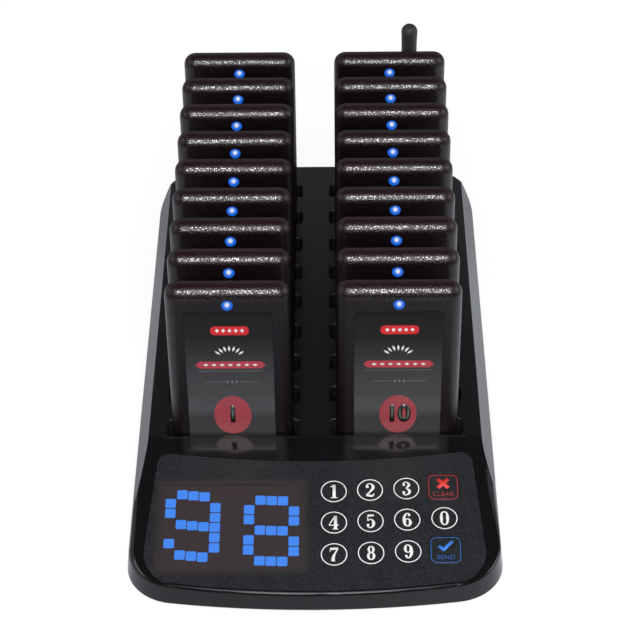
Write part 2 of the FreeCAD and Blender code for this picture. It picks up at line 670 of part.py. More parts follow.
def make_screws():
    screws = []
    for x, y in housing_bosses():
        head = Part.makeCone(SCREW_HEAD_D / 2, SCREW_D / 2, SCREW_HEAD_H)
        shank = rod(SCREW_D, 0, 0, SCREW_HEAD_H, SCREW_LEN)
        screw = head.fuse(shank).cut(cross_cut(SCREW_HEAD_D / 4, SCREW_HEAD_H * 0.6, SCREW_HEAD_D / 8))
        screw.translate(V(x, y, SHELL_Z))
        screws.append(screw.Solids[0])
    for x, v in board_bosses():
        low = BOARD_N - BOARD_T
        shank = rod(BOARD_SCREW_D, 0, 0, BOARD_SCREW_HEAD_H / 2, FLOOR_N - low + BOARD_SCREW_HEAD_H)
        head = rod(BOARD_SCREW_HEAD_D, 0, 0, 0, BOARD_SCREW_HEAD_H)
        cross = cross_cut(BOARD_SCREW_HEAD_D / 4, BOARD_SCREW_HEAD_H * 0.6, BOARD_SCREW_HEAD_D / 8)
        screw = head.fuse(shank).cut(cross)
        screw.translate(V(x, v, low - BOARD_SCREW_HEAD_H))
        screws.append(on_slope(screw.Solids[0]))
    save("screws", screws)


# ---- charging board, inlet, power slider --------------------------------------------------------
def make_charging_board():
    low = CHARGER_TOP - BOARD_T
    front = FRONT_Y + FIRST_PAGER - CHARGER_LEAD
    length = CHARGER_REAR - front
    board = slab(2 * CHARGER_HALF, length, CHARGER_R, 0, front + length / 2, low, CHARGER_TOP)
    peg_hole = PEG_D + 2 * PEG_HOLE_GAP
    board = board.cut([rod(peg_hole, 0, y, low - 1, CHARGER_TOP + 1) for y in charger_posts()])
    pins = [rod(PIN_D, x, y, CHARGER_TOP, SLOT_Z) for x, y in pin_places()]
    width, depth, height = SLIDER_BODY
    rear = slider_rear()
    middle = SLIDER_X + SLIDER_TRAVEL / 2
    switch = box(middle - width / 2, middle + width / 2, rear - depth, rear,
                 CHARGER_TOP, CHARGER_TOP + height)
    half = SLIDER_KNOB[0] / 2 + FIT_GAP
    track = box(SLIDER_X - half, SLIDER_X + half + SLIDER_TRAVEL, rear - depth / 2, rear + 1,
                slider_z() - SLIDER_KNOB[1] / 2 - FIT_GAP, slider_z() + SLIDER_KNOB[1] / 2 + FIT_GAP)
    save("charging_board", [board, switch.cut(track)] + pins)


def make_power_slider():
    rear = slider_rear()
    outside = wall_y(slider_z()) + WALL + SLIDER_PROUD
    half_w, half_h = SLIDER_KNOB[0] / 2, SLIDER_KNOB[1] / 2
    knob = box(SLIDER_X - half_w, SLIDER_X + half_w, rear - SLIDER_BODY[1] / 2 + FIT_GAP, outside,
               slider_z() - half_h, slider_z() + half_h)
    tip = [e for e in knob.Edges if all(abs(w.Point.y - outside) < 0.001 for w in e.Vertexes)]
    save("power_slider", [knob.makeFillet(SLIDER_PROUD / 3, tip)])


def make_inlet():
    rear, z = inlet_rear(), inlet_z()
    mouth = rear + INLET_NOSE_L
    body = box(INLET_X - INLET_W / 2, INLET_X + INLET_W / 2, rear - INLET_L, rear,
               CHARGER_TOP, CHARGER_TOP + INLET_H)
    nose = rod_y(INLET_NOSE_D, INLET_X, z, rear, mouth)
    bore = rod_y(INLET_BORE_D, INLET_X, z, mouth - INLET_BORE_L, mouth)
    pin = rod_y(INLET_PIN_D, INLET_X, z, mouth - INLET_BORE_L, mouth - INLET_PIN_D)
    save("dc_inlet", [body.fuse(nose).cut(bore).removeSplitter().Solids[0], pin])


# ---- antenna ------------------------------------------------------------------------------------
def make_antenna_socket():
    x, y = ANTENNA_X, ANTENNA_Y
    underside = DECK_Z - TOP_WALL
    stem = rod(SOCKET_D, x, y, underside - SOCKET_TAIL, DECK_Z + SOCKET_H)
    flange = rod(SOCKET_FLANGE_D, x, y, underside - SOCKET_FLANGE_T, underside)
    connector = stem.fuse(flange).removeSplitter().Solids[0]
    radius = NUT_AF / 2 / math.cos(math.pi / 6)
    corners = [V(x + radius * math.cos(k * math.pi / 3), y + radius * math.sin(k * math.pi / 3), DECK_Z)
               for k in range(6)]
    nut = Part.Face(loop(corners)).extrude(V(0, 0, NUT_T))
    nut = nut.cut(rod(SOCKET_D, x, y, DECK_Z - 1, DECK_Z + NUT_T + 1))
    save("antenna_socket", [connector, nut.Solids[0]])


def make_antenna():
    """Rubber rod on a knurled collar, turned about its own axis, with a slightly swollen rounded tip."""
    low = DECK_Z + NUT_T + NUT_GAP
    tip = DECK_Z + ANTENNA_H
    tip_r, rod_r, collar_r = ANTENNA_TIP_D / 2, ANTENNA_D / 2, COLLAR_D / 2
    collar_top = low + COLLAR_H

    def at(r, z):
        return V(r, 0, z)

    swell_low, swell_high = tip - 2.6 * tip_r, tip - tip_r
    lean = math.sqrt(0.5)
    dome = Part.Arc(at(tip_r, swell_high), at(tip_r * lean, swell_high + tip_r * lean), at(0, tip)).toShape()
    edges = [
        Part.LineSegment(at(0, low), at(collar_r, low)).toShape(),
        Part.LineSegment(at(collar_r, low), at(collar_r, collar_top)).toShape(),
        Part.LineSegment(at(collar_r, collar_top), at(rod_r, collar_top + collar_r - rod_r)).toShape(),
        Part.LineSegment(at(rod_r, collar_top + collar_r - rod_r), at(rod_r, swell_low)).toShape(),
        Part.LineSegment(at(rod_r, swell_low), at(tip_r, swell_high)).toShape(),
        dome,
        Part.LineSegment(at(0, tip), at(0, low)).toShape(),
    ]
    body = Part.Face(Part.Wire(edges)).revolve(V(0, 0, 0), V(0, 0, 1), 360)
    bore_r = SOCKET_D / 2 + ANTENNA_BORE_GAP
    bore = Part.makeCylinder(bore_r, DECK_Z + SOCKET_H + ANTENNA_BORE_END - low + 1, V(0, 0, low - 1))
    turns = [2 * math.pi * k / KNURLS for k in range(KNURLS)]
    grooves = [rod(KNURL_D, collar_r * math.cos(turn), collar_r * math.sin(turn), low + KNURL_END,
                   collar_top - KNURL_END) for turn in turns]
    antenna = body.cut([bore] + grooves).Solids[0]
    antenna.translate(V(ANTENNA_X, ANTENNA_Y, 0))
    save("antenna", [antenna])


# ---- pager, in its own frame: x across, y back from the front face, z up from the lower end ------
def upright_slab(width, height, r_low, r_high, y0, y1, z0):
    """Rounded rectangle that stands upright, with its thickness along y."""
    wire = rounded_wire(width, height, r_low, r_high, 0, z0 + height / 2, 0)
    plate = Part.Face(wire).extrude(V(0, 0, y1 - y0))
    plate.rotate(V(0, 0, 0), V(1, 0, 0), 90)
    plate.translate(V(0, y1, 0))
    return plate


def edge_radii():
    """Rounding round the front and the back face, held to what the corners and the thickness leave."""
    corner = min(PAGER_TOP_R, PAGER_FOOT_R) - PAGER_FLAT
    face_r = min(PAGER_FACE_R, corner)
    return face_r, min(PAGER_BACK_R, corner, PAGER_T - face_r - PAGER_FLAT)


def rounded_rim(plate, y, radius):
    """An upright slab with the rim of its face at y rounded."""
    rim = [e for e in plate.Edges if all(abs(w.Point.y - y) < 0.001 for w in e.Vertexes)]
    return plate.makeFillet(radius, rim)


def pager_shells():
    face_r, back_r = edge_radii()
    outer = upright_slab(PAGER_W, PAGER_H, PAGER_FOOT_R, PAGER_TOP_R, 0, PAGER_T, 0)
    outer = rounded_rim(rounded_rim(outer, 0, face_r), PAGER_T, back_r)
    cavity = upright_slab(PAGER_W - 2 * PAGER_WALL, PAGER_H - 2 * PAGER_WALL, PAGER_FOOT_R - PAGER_WALL,
                          PAGER_TOP_R - PAGER_WALL, PAGER_WALL, PAGER_T - PAGER_WALL, PAGER_WALL)
    cavity = rounded_rim(cavity, PAGER_WALL, face_r - PAGER_WALL)
    recess = upright_slab(LABEL_W, LABEL_H, LABEL_R, LABEL_R, -1, LABEL_RECESS,
                          PAGER_H - LABEL_DROP - LABEL_H)
    lens_hole = rod_y(LENS_D + 2 * LENS_GAP, 0, PAGER_H - LED_DROP, -1, PAGER_WALL + 1)
    hollow = outer.cut([cavity, recess, lens_hole] + [contact_block(s, FIT_GAP) for s in (-1, 1)])
    front_half = box(-PAGER_W, PAGER_W, -1, face_r, -1, PAGER_H + 1)
    front = hollow.common(front_half).Solids[0]
    back = hollow.cut(front_half).Solids[0]
    return front, back.fuse(board_posts()).removeSplitter().Solids[0]


def board_posts():
    """Short posts of the back shell that the circuit board sits on."""
    back = PAGER_T - PAGER_WALL
    top = PAGER_H - PAGER_WALL - PCB_TOP_GAP
    return [rod_y(POST_D, s * POST_X, z, back - POST_H, back + PAGER_WALL / 2)
            for s in (-1, 1) for z in (PCB_LIFT + POST_INSET, top - POST_INSET)]


def contact_block(side, grow):
    """Charging contact that reaches from the lower end of the pager up to its board."""
    width, depth, height = CONTACT_SIZE
    y1 = PAGER_T - PAGER_WALL - POST_H - PCB_T
    x = side * CONTACT_X
    return box(x - width / 2 - grow, x + width / 2 + grow, y1 - depth - grow, y1 + grow, -grow, height)


def pager_label():
    height = LABEL_H - 2 * FIT_GAP
    return upright_slab(LABEL_W - 2 * FIT_GAP, height, LABEL_R - FIT_GAP, LABEL_R - FIT_GAP,
                        LABEL_RECESS - LABEL_T, LABEL_RECESS, PAGER_H - LABEL_DROP - LABEL_H + FIT_GAP)


def pager_lens():
    """Clear plug in the front shell with a dome outside, in front of the light."""
    z = PAGER_H - LED_DROP
    dome_r = (LENS_D ** 2 / 4 + LENS_PROUD ** 2) / (2 * LENS_PROUD)
    sphere = Part.makeSphere(dome_r, V(0, dome_r - LENS_PROUD, z))
    dome = sphere.common(rod_y(LENS_D, 0, z, -2 * LENS_PROUD, PAGER_WALL / 2))
    return rod_y(LENS_D, 0, z, 0, PAGER_WALL).fuse(dome).removeSplitter().Solids[0]


def pager_core():
    board_y = PAGER_T - PAGER_WALL - POST_H - PCB_T
    board_h = PAGER_H - PAGER_WALL - PCB_TOP_GAP - PCB_LIFT
    board = box(-PCB_W / 2, PCB_W / 2, board_y, board_y + PCB_T, PCB_LIFT, PCB_LIFT + board_h)
    width, depth, height = CELL_SIZE
    cell = box(-width / 2, width / 2, board_y - depth, board_y, CELL_LIFT, CELL_LIFT + height)
    part_z = PAGER_H - PART_DROP
    motor = rod_y(MOTOR_D, -PART_X, part_z, board_y - MOTOR_T, board_y)
    beeper = rod_y(BEEPER_D, PART_X, part_z, board_y - BEEPER_T, board_y)
    light_z = PAGER_H - LED_DROP
    tip_y = PAGER_WALL + LED_GAP + LED_D / 2
    light = rod_y(LED_D, 0, light_z, tip_y, board_y)
    dome = Part.makeSphere(LED_D / 2, V(0, tip_y, light_z)).common(
        box(-LED_D, LED_D, 0, tip_y, light_z - LED_D, light_z + LED_D))
    light = light.fuse(dome).removeSplitter().Solids[0]
    contacts = [contact_block(s, 0.0) for s in (-1, 1)]
    return [board, cell, motor, beeper, light] + contacts


def make_pagers():
    case = list(pager_shells()) + [pager_label(), pager_lens()]
    core = pager_core()
    for number, x, y in pager_places():
        for suffix, solids in (("case", case), ("core", core)):
            placed = [solid.copy() for solid in solids]
            for solid in placed:
                solid.translate(V(x, y, SLOT_Z))
            save("pager_%02d_%s" % (number, suffix), placed)


def main():
    os.makedirs("parts", exist_ok=True)
    document = FreeCAD.newDocument("GuestPagerBase")
    make_housing(document)
    make_cover()
    make_feet()
    make_screws()
    make_overlay()
    make_keys()
    make_display()
    make_control_board()
    make_charging_board()
    make_inlet()
    make_power_slider()
    make_antenna_socket()
    make_antenna()
    make_pagers()


main()
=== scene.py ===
# %% [markdown]
# # A guest pager system
# A charging base stands on the counter and holds two columns of nine pagers. Someone types a number on the
# sloped keypad, the blue display shows it, and that guest's pager lights up.
# The solid pieces come ready made, at their real size. Here each gets its finish, and what is printed or
# lit is added: the key legends, the pager labels and the digits of the display.

import math

import bpy
from mathutils import Matrix, Vector


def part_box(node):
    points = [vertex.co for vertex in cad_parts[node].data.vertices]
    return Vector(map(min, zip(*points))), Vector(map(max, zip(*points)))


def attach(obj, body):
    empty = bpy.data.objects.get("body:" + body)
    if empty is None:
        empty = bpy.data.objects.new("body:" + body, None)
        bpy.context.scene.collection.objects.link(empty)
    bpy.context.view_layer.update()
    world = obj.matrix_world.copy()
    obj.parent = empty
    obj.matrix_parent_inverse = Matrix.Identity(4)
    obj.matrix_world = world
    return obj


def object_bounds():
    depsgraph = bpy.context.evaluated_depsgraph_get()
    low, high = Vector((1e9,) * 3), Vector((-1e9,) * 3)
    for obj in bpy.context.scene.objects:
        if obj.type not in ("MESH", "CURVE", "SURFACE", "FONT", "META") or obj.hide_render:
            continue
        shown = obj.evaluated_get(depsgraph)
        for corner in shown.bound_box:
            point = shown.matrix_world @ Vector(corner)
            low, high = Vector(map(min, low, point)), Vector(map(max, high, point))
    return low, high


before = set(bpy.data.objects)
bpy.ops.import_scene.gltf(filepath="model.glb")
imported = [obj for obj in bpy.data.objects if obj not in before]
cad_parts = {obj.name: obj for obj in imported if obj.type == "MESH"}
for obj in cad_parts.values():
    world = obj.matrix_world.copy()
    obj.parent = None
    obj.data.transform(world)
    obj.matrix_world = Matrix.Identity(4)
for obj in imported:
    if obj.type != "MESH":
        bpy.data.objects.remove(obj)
cad_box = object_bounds()
MM = 0.001
print("solid pieces:", len(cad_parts), "box:", [[round(x / MM, 1) for x in c] for c in cad_box])

# %% [markdown]
# ## Where things are
# Blender works in metres, and the pieces are where the real ones are. A few places are read from the
# solids, so that the printing lands on them: the middle of a pager column, the face of the first pager, and
# the step from one pager to the next. The keypad is a plane that climbs to the rear, so it gets its own
# two directions: x across and v up the slope.

# %% Places on the pagers and on the keypad
LENS_PROUD = 2.3 * MM
PAGERS = 18
ROWS = 9
first_low, first_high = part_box("pager_01_case")
second_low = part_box("pager_02_case")[0]
COLUMN_X = -(first_low.x + first_high.x) / 2
FACE_Y = first_low.y + LENS_PROUD
FOOT_Z = first_low.z
PITCH = second_low.y - first_low.y

LIP_H = 11.6 * MM
DECK_H = 29.4 * MM
KNEE_AT = 90.73 * MM
SLOPE = math.atan2(DECK_H - LIP_H, KNEE_AT)
FRONT_Y = cad_box[0].y
OVERLAY_TOP = -0.1 * MM
keypad = Matrix.Translation((0, FRONT_Y, LIP_H)) @ Matrix.Rotation(SLOPE, 4, "X")
print("columns at", round(COLUMN_X / MM, 2), "mm, pitch", round(PITCH / MM, 2), "mm")
print("keypad slope", round(math.degrees(SLOPE), 2), "degrees")

# %% [markdown]
# ## Camera
# The camera looks down on the rack from the keypad's side. Its place and its angles are given: first
# the turn about the upright axis, then the tilt, then a slight roll. A long lens keeps the sides nearly
# parallel.

# %% Camera
CAMERA_AT = (0.01074, -0.90925, 0.79534)
CAMERA_DOWN = math.radians(39.468)
CAMERA_TURN = math.radians(0.509)
CAMERA_ROLL = math.radians(-0.675)
LENS_MM = 124.5
SENSOR_MM = 36
bpy.ops.object.camera_add()
camera = bpy.context.object
camera.name = "camera"
turn = Matrix.Rotation(CAMERA_TURN, 4, "Z") @ Matrix.Rotation(math.pi / 2 - CAMERA_DOWN, 4, "X")
camera.matrix_world = Matrix.Translation(CAMERA_AT) @ turn @ Matrix.Rotation(CAMERA_ROLL, 4, "Z")
camera.data.lens = LENS_MM
camera.data.sensor_width = SENSOR_MM
bpy.context.scene.camera = camera
bpy.context.scene.view_settings.view_transform = "Standard"
print("camera", [round(x, 3) for x in camera.matrix_world.translation])

# %% [markdown]
# ## A way to write shader maths
# A material is a graph of nodes, and maths in it takes one node for each sum. Python can write that graph
# from a plain expression, if an object that stands for a socket knows what + and * mean. This small class
# does that. Every other node comes from its node method, which sets the node's options first and then its
# inputs.

# %% Sockets that take part in Python expressions
class Value:
    """One output of a node. Sums on it add Math nodes; node() adds any other node."""

    def __init__(self, tree, socket=None):
        self.tree = tree
        self.socket = socket

    def node(self, kind, settings=None, inputs=None, output=0):
        made = self.tree.nodes.new(kind)
        for name, value in (settings or {}).items():
            if name == "stops":
                self.set_stops(made.color_ramp, value)
            else:
                setattr(made, name, value)
        for name, value in (inputs or {}).items():
            if isinstance(value, Value):
                self.tree.links.new(value.socket, made.inputs[name])
            else:
                made.inputs[name].default_value = value
        return Value(self.tree, made.outputs[output]) if len(made.outputs) else None

    def set_stops(self, ramp, stops):
        while len(ramp.elements) < len(stops):
            ramp.elements.new(0.5)
        for element, (position, colour) in zip(ramp.elements, stops):
            element.position = position
            element.color = colour

    def beside(self, output):
        """Another output of the same node."""
        return Value(self.tree, self.socket.node.outputs[output])

    def math(self, operation, *others):
        terms = dict(enumerate((self,) + others))
        return self.node("ShaderNodeMath", {"operation": operation}, terms)

    def __add__(self, other):
        return self.math("ADD", other)

    __radd__ = __add__

    def __mul__(self, other):
        return self.math("MULTIPLY", other)

    __rmul__ = __mul__

    def __sub__(self, other):
        return self.math("SUBTRACT", other)

    def __rsub__(self, other):
        return (self * -1) + other

    def __gt__(self, other):
        return self.math("GREATER_THAN", other)

    def __lt__(self, other):
        return self.math("LESS_THAN", other)

    def __abs__(self):
        return self.math("ABSOLUTE")


# %% [markdown]
# ## Helpers for finishes
# These are the few things that nearly every finish here needs: the place of a point on the piece, a soft
# step from 0 to 1, a blend of two colours, grain of a given size, and the closing shader. Colours are
# written as they look on screen, from 0 to 255, and turned into light by one function.

# %% Helpers for finishes
BLACK = (0, 0, 0, 1)
WHITE = (1, 1, 1, 1)


def tint(red, green, blue):
    """A colour as seen on screen, 0 to 255, as the linear light that Blender works with."""
    linear = []
    for level in (red / 255, green / 255, blue / 255):
        linear.append(level / 12.92 if level <= 0.04045 else ((level + 0.055) / 1.055) ** 2.4)
    return (*linear, 1)


def begin(name):
    """A new material, and the place of the shaded point in metres."""
    material = bpy.data.materials.new(name)
    material.use_nodes = True
    material.node_tree.nodes.clear()
    return material, Value(material.node_tree).node("ShaderNodeTexCoord", output="Object")


def finish(place, sockets):
    """Closes a material with one shader that has these inputs."""
    surface = place.node("ShaderNodeBsdfPrincipled", None, sockets)
    place.node("ShaderNodeOutputMaterial", None, {"Surface": surface})


def parts(vector):
    """The x, y and z of a vector."""
    x = vector.node("ShaderNodeSeparateXYZ", None, {"Vector": vector}, output="X")
    return x, x.beside("Y"), x.beside("Z")


def hypotenuse(*sides):
    return sum(side * side for side in sides).math("SQRT")


def step(value, low, high):
    """0 below low, 1 above high, smooth between. With low above high it falls instead."""
    ends = {"Value": value, "From Min": low, "From Max": high, "To Min": 0.0, "To Max": 1.0}
    return value.node("ShaderNodeMapRange", {"interpolation_type": "SMOOTHSTEP"}, ends)


def mix(factor, low, high):
    """The colour low where factor is 0, and high where it is 1."""
    return factor.node("ShaderNodeMix", {"data_type": "RGBA"}, {0: factor, 6: low, 7: high}, output=2)


def noise(place, size, detail=2.0):
    """A soft pattern from 0 to 1 with patches of about that size."""
    inputs = {"Vector": place, "Scale": 1 / size, "Detail": detail}
    return place.node("ShaderNodeTexNoise", None, inputs)


def cells(place, size):
    """A random number for each cell of about that size."""
    inputs = {"Vector": place, "Scale": 1 / size}
    colour = place.node("ShaderNodeTexVoronoi", None, inputs, output="Color")
    return parts(colour)[0]


def bump(height, depth):
    return height.node("ShaderNodeBump", None, {"Height": height, "Strength": 1.0, "Distance": depth})


def put_on(material, *names):
    """Gives solid pieces this material."""
    for name in names:
        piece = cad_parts[name]
        piece.data.materials.clear()
        piece.data.materials.append(material)
    print(material.name, "on", len(names), "pieces")


# %% [markdown]
# ## Studio
# Black plastic shows little colour of its own. What gives it shape is what it mirrors, so the room matters
# as much as the lamps. One large box behind the camera does most of the lighting, and its top is a brighter
# strip, so the rounded pager edges show a bright band with a crisp upper limit. Mirrors also see a pale
# floor round the base, dimmer close behind it, and a low pale wall at the back and sides with a dim foot,
# which draw the rims and facets. The rest of the room is dark in them, which keeps the faces black. The
# camera itself sees white everywhere, and the light that bounces about is an even fill. A pair of numbers
# is where a soft step starts and ends.

# %% Floor
FLOOR_SIZE = 12.0
FLOOR_BOUNCES = tint(235, 235, 235)
FLOOR_IN_SHADE = (0.24, 0.24, 0.24, 1)
GLOW = 0.83
GLOW_GROWS = 0.14
GLOW_RINGS = (0.5, 1.6)
PALE = (0.75, 0.775, 0.84, 1)
PALE_RINGS = (0.90, 0.45)
PALE_FROM_FRONT = (-0.60, 0.0)
PALE_FROM_LEFT = (-0.02, 0.12)
RIGHT_GAIN = 0.28
PATCH_FROM_FRONT = (0.10, 0.17)
PATCH_SIDES = (0.18, 0.07)
PATCH_DIMS = 0.5


def ray_kinds(start):
    """1 for rays straight from the camera, and 1 for rays that a mirror or glass sends on."""
    camera_ray = start.node("ShaderNodeLightPath", output="Is Camera Ray")
    mirrored = camera_ray.beside("Is Glossy Ray").math("MAXIMUM", camera_ray.beside("Is Transmission Ray"))
    return camera_ray, mirrored


def floor_in_mirrors(place, x, y, radius):
    """Pale round the base and brighter to its right, dimmer behind it, and black far off and in front."""
    behind = step(y, *PATCH_FROM_FRONT) * step(abs(x), *PATCH_SIDES)
    lit_part = step(radius, *PALE_RINGS) * step(y, *PALE_FROM_FRONT) * (1 - behind * PATCH_DIMS)
    strength = step(x, *PALE_FROM_LEFT) * RIGHT_GAIN + 1
    black = place.node("ShaderNodeEmission", None, {"Color": BLACK, "Strength": 0.0})
    pale = place.node("ShaderNodeEmission", None, {"Color": PALE, "Strength": strength})
    return place.node("ShaderNodeMixShader", None, {0: lit_part, 1: black, 2: pale})


def floor_for_camera(place, radius):
    """White all over, apart from the shadow that the object casts on it."""
    shaded = place.node("ShaderNodeBsdfDiffuse", None, {"Color": FLOOR_IN_SHADE})
    strength = step(radius, *GLOW_RINGS) * GLOW_GROWS + GLOW
    glow = place.node("ShaderNodeEmission", None, {"Color": WHITE, "Strength": strength})
    return place.node("ShaderNodeAddShader", None, {0: shaded, 1: glow})


def make_floor():
    bpy.ops.mesh.primitive_plane_add(size=FLOOR_SIZE)
    floor = bpy.context.object
    floor.name = "floor"
    material, place = begin("pale_floor")
    camera_ray, mirrored = ray_kinds(place)
    x, y = parts(place)[:2]
    radius = hypotenuse(x, y)
    white = floor_for_camera(place, radius)
    in_mirrors = floor_in_mirrors(place, x, y, radius)
    shown = place.node("ShaderNodeMixShader", None, {0: mirrored, 1: white, 2: in_mirrors})
    bounced = place.node("ShaderNodeBsdfDiffuse", None, {"Color": FLOOR_BOUNCES})
    seen = camera_ray.math("MAXIMUM", mirrored)
    mixed = place.node("ShaderNodeMixShader", None, {0: seen, 1: bounced, 2: shown})
    place.node("ShaderNodeOutputMaterial", None, {"Surface": mixed})
    floor.data.materials.append(material)


make_floor()
print("floor made, all pale in mirrors within", PALE_RINGS[1], "m")

# %% Room
FILL = 0.34
WALL_DARK = 0.04
WALL_PALE = 0.62
WALL_LOW = math.sin(math.radians(22))
WALL_HIGH = math.sin(math.radians(47))
WALL_FROM_FRONT = (-0.65, -0.15)
WALL_FOOT = (0.12, 0.38)
FOOT_SHARE = 0.3
COOL = (0.92, 0.95, 1.0, 1)


def make_room():
    world = bpy.data.worlds.new("room")
    bpy.context.scene.world = world
    world.use_nodes = True
    world.node_tree.nodes.clear()
    start = Value(world.node_tree)
    direction = start.node("ShaderNodeTexCoord", output="Generated")
    y, z = parts(direction)[1:]
    foot = step(z, *WALL_FOOT) * (1 - FOOT_SHARE) + FOOT_SHARE
    wall = step(z, WALL_HIGH, WALL_LOW) * step(y, *WALL_FROM_FRONT) * foot
    camera_ray, mirrored = ray_kinds(start)
    in_mirrors = wall * (WALL_PALE - WALL_DARK) + WALL_DARK
    strength = camera_ray + mirrored * in_mirrors + (1 - camera_ray) * (1 - mirrored) * FILL
    colour = mix(mirrored, WHITE, COOL)
    light = start.node("ShaderNodeBackground", None, {"Color": colour, "Strength": strength})
    start.node("ShaderNodeOutputWorld", None, {"Surface": light})


make_room()
print("room made, fill", FILL)

# %% Lamps
BEHIND_CAMERA = {"at": (0.01, -1.22, 1.16), "size": (0.70, 0.98), "watts": 17.0}
ITS_TOP = {"at": (0.01, -0.945, 1.450), "size": (0.70, 0.18), "watts": 3.6}
LEFT = {"at": (-1.10, -0.15, 0.55), "size": (0.60, 0.60), "watts": 1.5}
RIGHT = {"at": (1.10, -0.15, 0.55), "size": (0.60, 0.60), "watts": 3.0}
AIM = Vector((0, 0, 0.06))


def make_lamp(name, at, size, watts):
    bpy.ops.object.light_add(type="AREA", location=at)
    lamp = bpy.context.object
    lamp.name = name
    lamp.data.shape = "RECTANGLE"
    lamp.data.size, lamp.data.size_y = size
    lamp.data.energy = watts
    lamp.rotation_euler = (AIM - Vector(at)).to_track_quat("-Z", "Y").to_euler()


make_lamp("box_behind_camera", **BEHIND_CAMERA)
make_lamp("bright_top_of_box", **ITS_TOP)
make_lamp("box_left", **LEFT)
make_lamp("box_right", **RIGHT)

# %% [markdown]
# ## Black plastic of the base
# The housing is moulded in black plastic with a satin gloss. Up close such a skin isn't flat: it has a very
# fine grain and a slow unevenness where the plastic shrank, so mirrored edges wobble a little. Both are
# noise, one small and one large, and a few pale specks stand for dust. The deck is slightly rubbed, and the
# pockets that hold the pagers are left matt. Their colour is also painted a little lighter than the deck,
# a painted light that lifts the shade inside them.

# %% Housing, cover and feet
SHRINK_SIZE = 9 * MM
SKIN_GRAIN = 0.45 * MM
SPECK_SIZE = 0.5 * MM
SPECK_ABOVE = 0.9985
DECK_SKIN = 0.03 * MM
RUBBED = 0.07
POCKET_HALF = 35.5 * MM
POCKET_AHEAD = 3 * MM
POCKET_FLOOR = 3 * MM
POCKET_ROUGH = 0.62


def in_pocket(x, y, z):
    """1 inside the slots of the rack, below the deck's skin."""
    in_column = abs(abs(x) - COLUMN_X) < POCKET_HALF
    in_rack = in_column * (y > FACE_Y - POCKET_AHEAD) * (y < FACE_Y + ROWS * PITCH)
    return in_rack * (z < DECK_H - DECK_SKIN) * (z > POCKET_FLOOR)


def housing_plastic(name, gloss, grain_depth):
    material, place = begin(name)
    slow = noise(place, SHRINK_SIZE)
    fine = noise(place, SKIN_GRAIN)
    speck = cells(place, SPECK_SIZE) > SPECK_ABOVE
    shade = mix(slow, tint(14, 14, 16), tint(18, 18, 20))
    colour = mix(speck * fine, shade, tint(56, 58, 62))
    x, y, z = parts(place)
    # The pockets' colour is painted lighter than the deck: painted light that lifts the shade inside the
    # slots.
    pocket = in_pocket(x, y, z)
    on_deck = z > DECK_H - DECK_SKIN
    finish(place, {
        "Base Color": mix(pocket, colour, tint(22, 23, 26)),
        "Roughness": (gloss + fine * 0.08 + on_deck * RUBBED).math("MAXIMUM", pocket * POCKET_ROUGH),
        "Normal": bump(fine + slow * 3, grain_depth),
        "IOR": 1.5,
    })
    return material


def foot_rubber():
    material, place = begin("foot_rubber")
    grit = noise(place, 0.7 * MM, 4.0)
    colour = mix(grit, tint(30, 30, 31), tint(52, 51, 50))
    finish(place, {"Base Color": colour, "Roughness": 0.75 + grit * 0.2, "Normal": bump(grit, 0.05 * MM)})
    return material


put_on(housing_plastic("housing_plastic", 0.10, 0.004 * MM), "upper_housing")
put_on(housing_plastic("cover_plastic", 0.38, 0.02 * MM), "bottom_cover")
put_on(foot_rubber(), "rubber_feet")

# %% [markdown]
# ## Keypad film
# One printed film covers the keypad. It is a charcoal ink with a fine sparkle in it, and over the display
# the ink is left off, so that the film is a dark smoked window there. The window is see-through by its
# alpha, and the blocks under it are real. Round it the ink has a thin warmer rim. The front of the film
# follows a shallow bow. Along it a painted highlight and, behind that, a painted shadow line stand in for
# the light on the lip's rounded edge and the shade in the gap. The same ink is on the tops of the keys.

# %% Places on the film
SLOPE_RISE = math.sin(SLOPE)
SLOPE_RUN = math.cos(SLOPE)
display_low, display_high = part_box("display_block")
DISPLAY_V = ((display_low.y - FRONT_Y) / SLOPE_RUN, (display_high.y - FRONT_Y) / SLOPE_RUN)
WINDOW_SOFT = 0.4 * MM
HALO = 2.0 * MM
BOW_RADIUS = 510 * MM
FILM_FRONT = 1.8 * MM


def up_the_slope(place):
    """Distance across and distance up the slope, of a point on the keypad."""
    x, y, z = parts(place)
    return x, (y - FRONT_Y) * SLOPE_RUN + (z - LIP_H) * SLOPE_RISE


def bow(x):
    """How far the bowed front of the keypad lies behind its middle."""
    return x * x * (1 / (2 * BOW_RADIUS))


def within(value, low, high, soft):
    """1 from low to high, with soft ends."""
    return step(value, low - soft, low + soft) * step(value, high + soft, high - soft)


def on_display(x, v, margin, soft):
    """1 on the display block and a margin round it."""
    across = within(x, display_low.x - margin, display_high.x + margin, soft)
    return across * within(v, DISPLAY_V[0] - margin, DISPLAY_V[1] + margin, soft)


print("display", [round(v / MM, 1) for v in DISPLAY_V], "mm up the slope")

# %% Film on the keypad and the keys
FILM_GRAIN = 0.36 * MM
FILM_CLOUD = 14 * MM
FILM_BUMP = 0.006 * MM
WINDOW_HOLDS_BACK = 0.5
PAINTED_HIGHLIGHT_EDGE = (0.45 * MM, 0.15 * MM)
PAINTED_HIGHLIGHT_SIDES = (76 * MM, 30 * MM)
PAINTED_SHADOW_LINE = (0.6 * MM, 1.5 * MM)
PAINTED_SHADOW_SOFT = 0.3 * MM


def film_ink(place):
    """Charcoal ink with pale and dark grains in it."""
    grain = cells(place, FILM_GRAIN)
    cloud = noise(place, FILM_CLOUD)
    ground = mix(cloud, tint(34, 35, 38), tint(43, 45, 48))
    darker = mix(step(grain, 0.30, 0.05) * 0.6, ground, tint(24, 25, 27))
    return mix(step(grain, 0.82, 1.0) * 0.45, darker, tint(76, 80, 86)), grain


def film_skin(grain):
    return {"Roughness": 0.20 + grain * 0.05, "Normal": bump(grain, FILM_BUMP)}


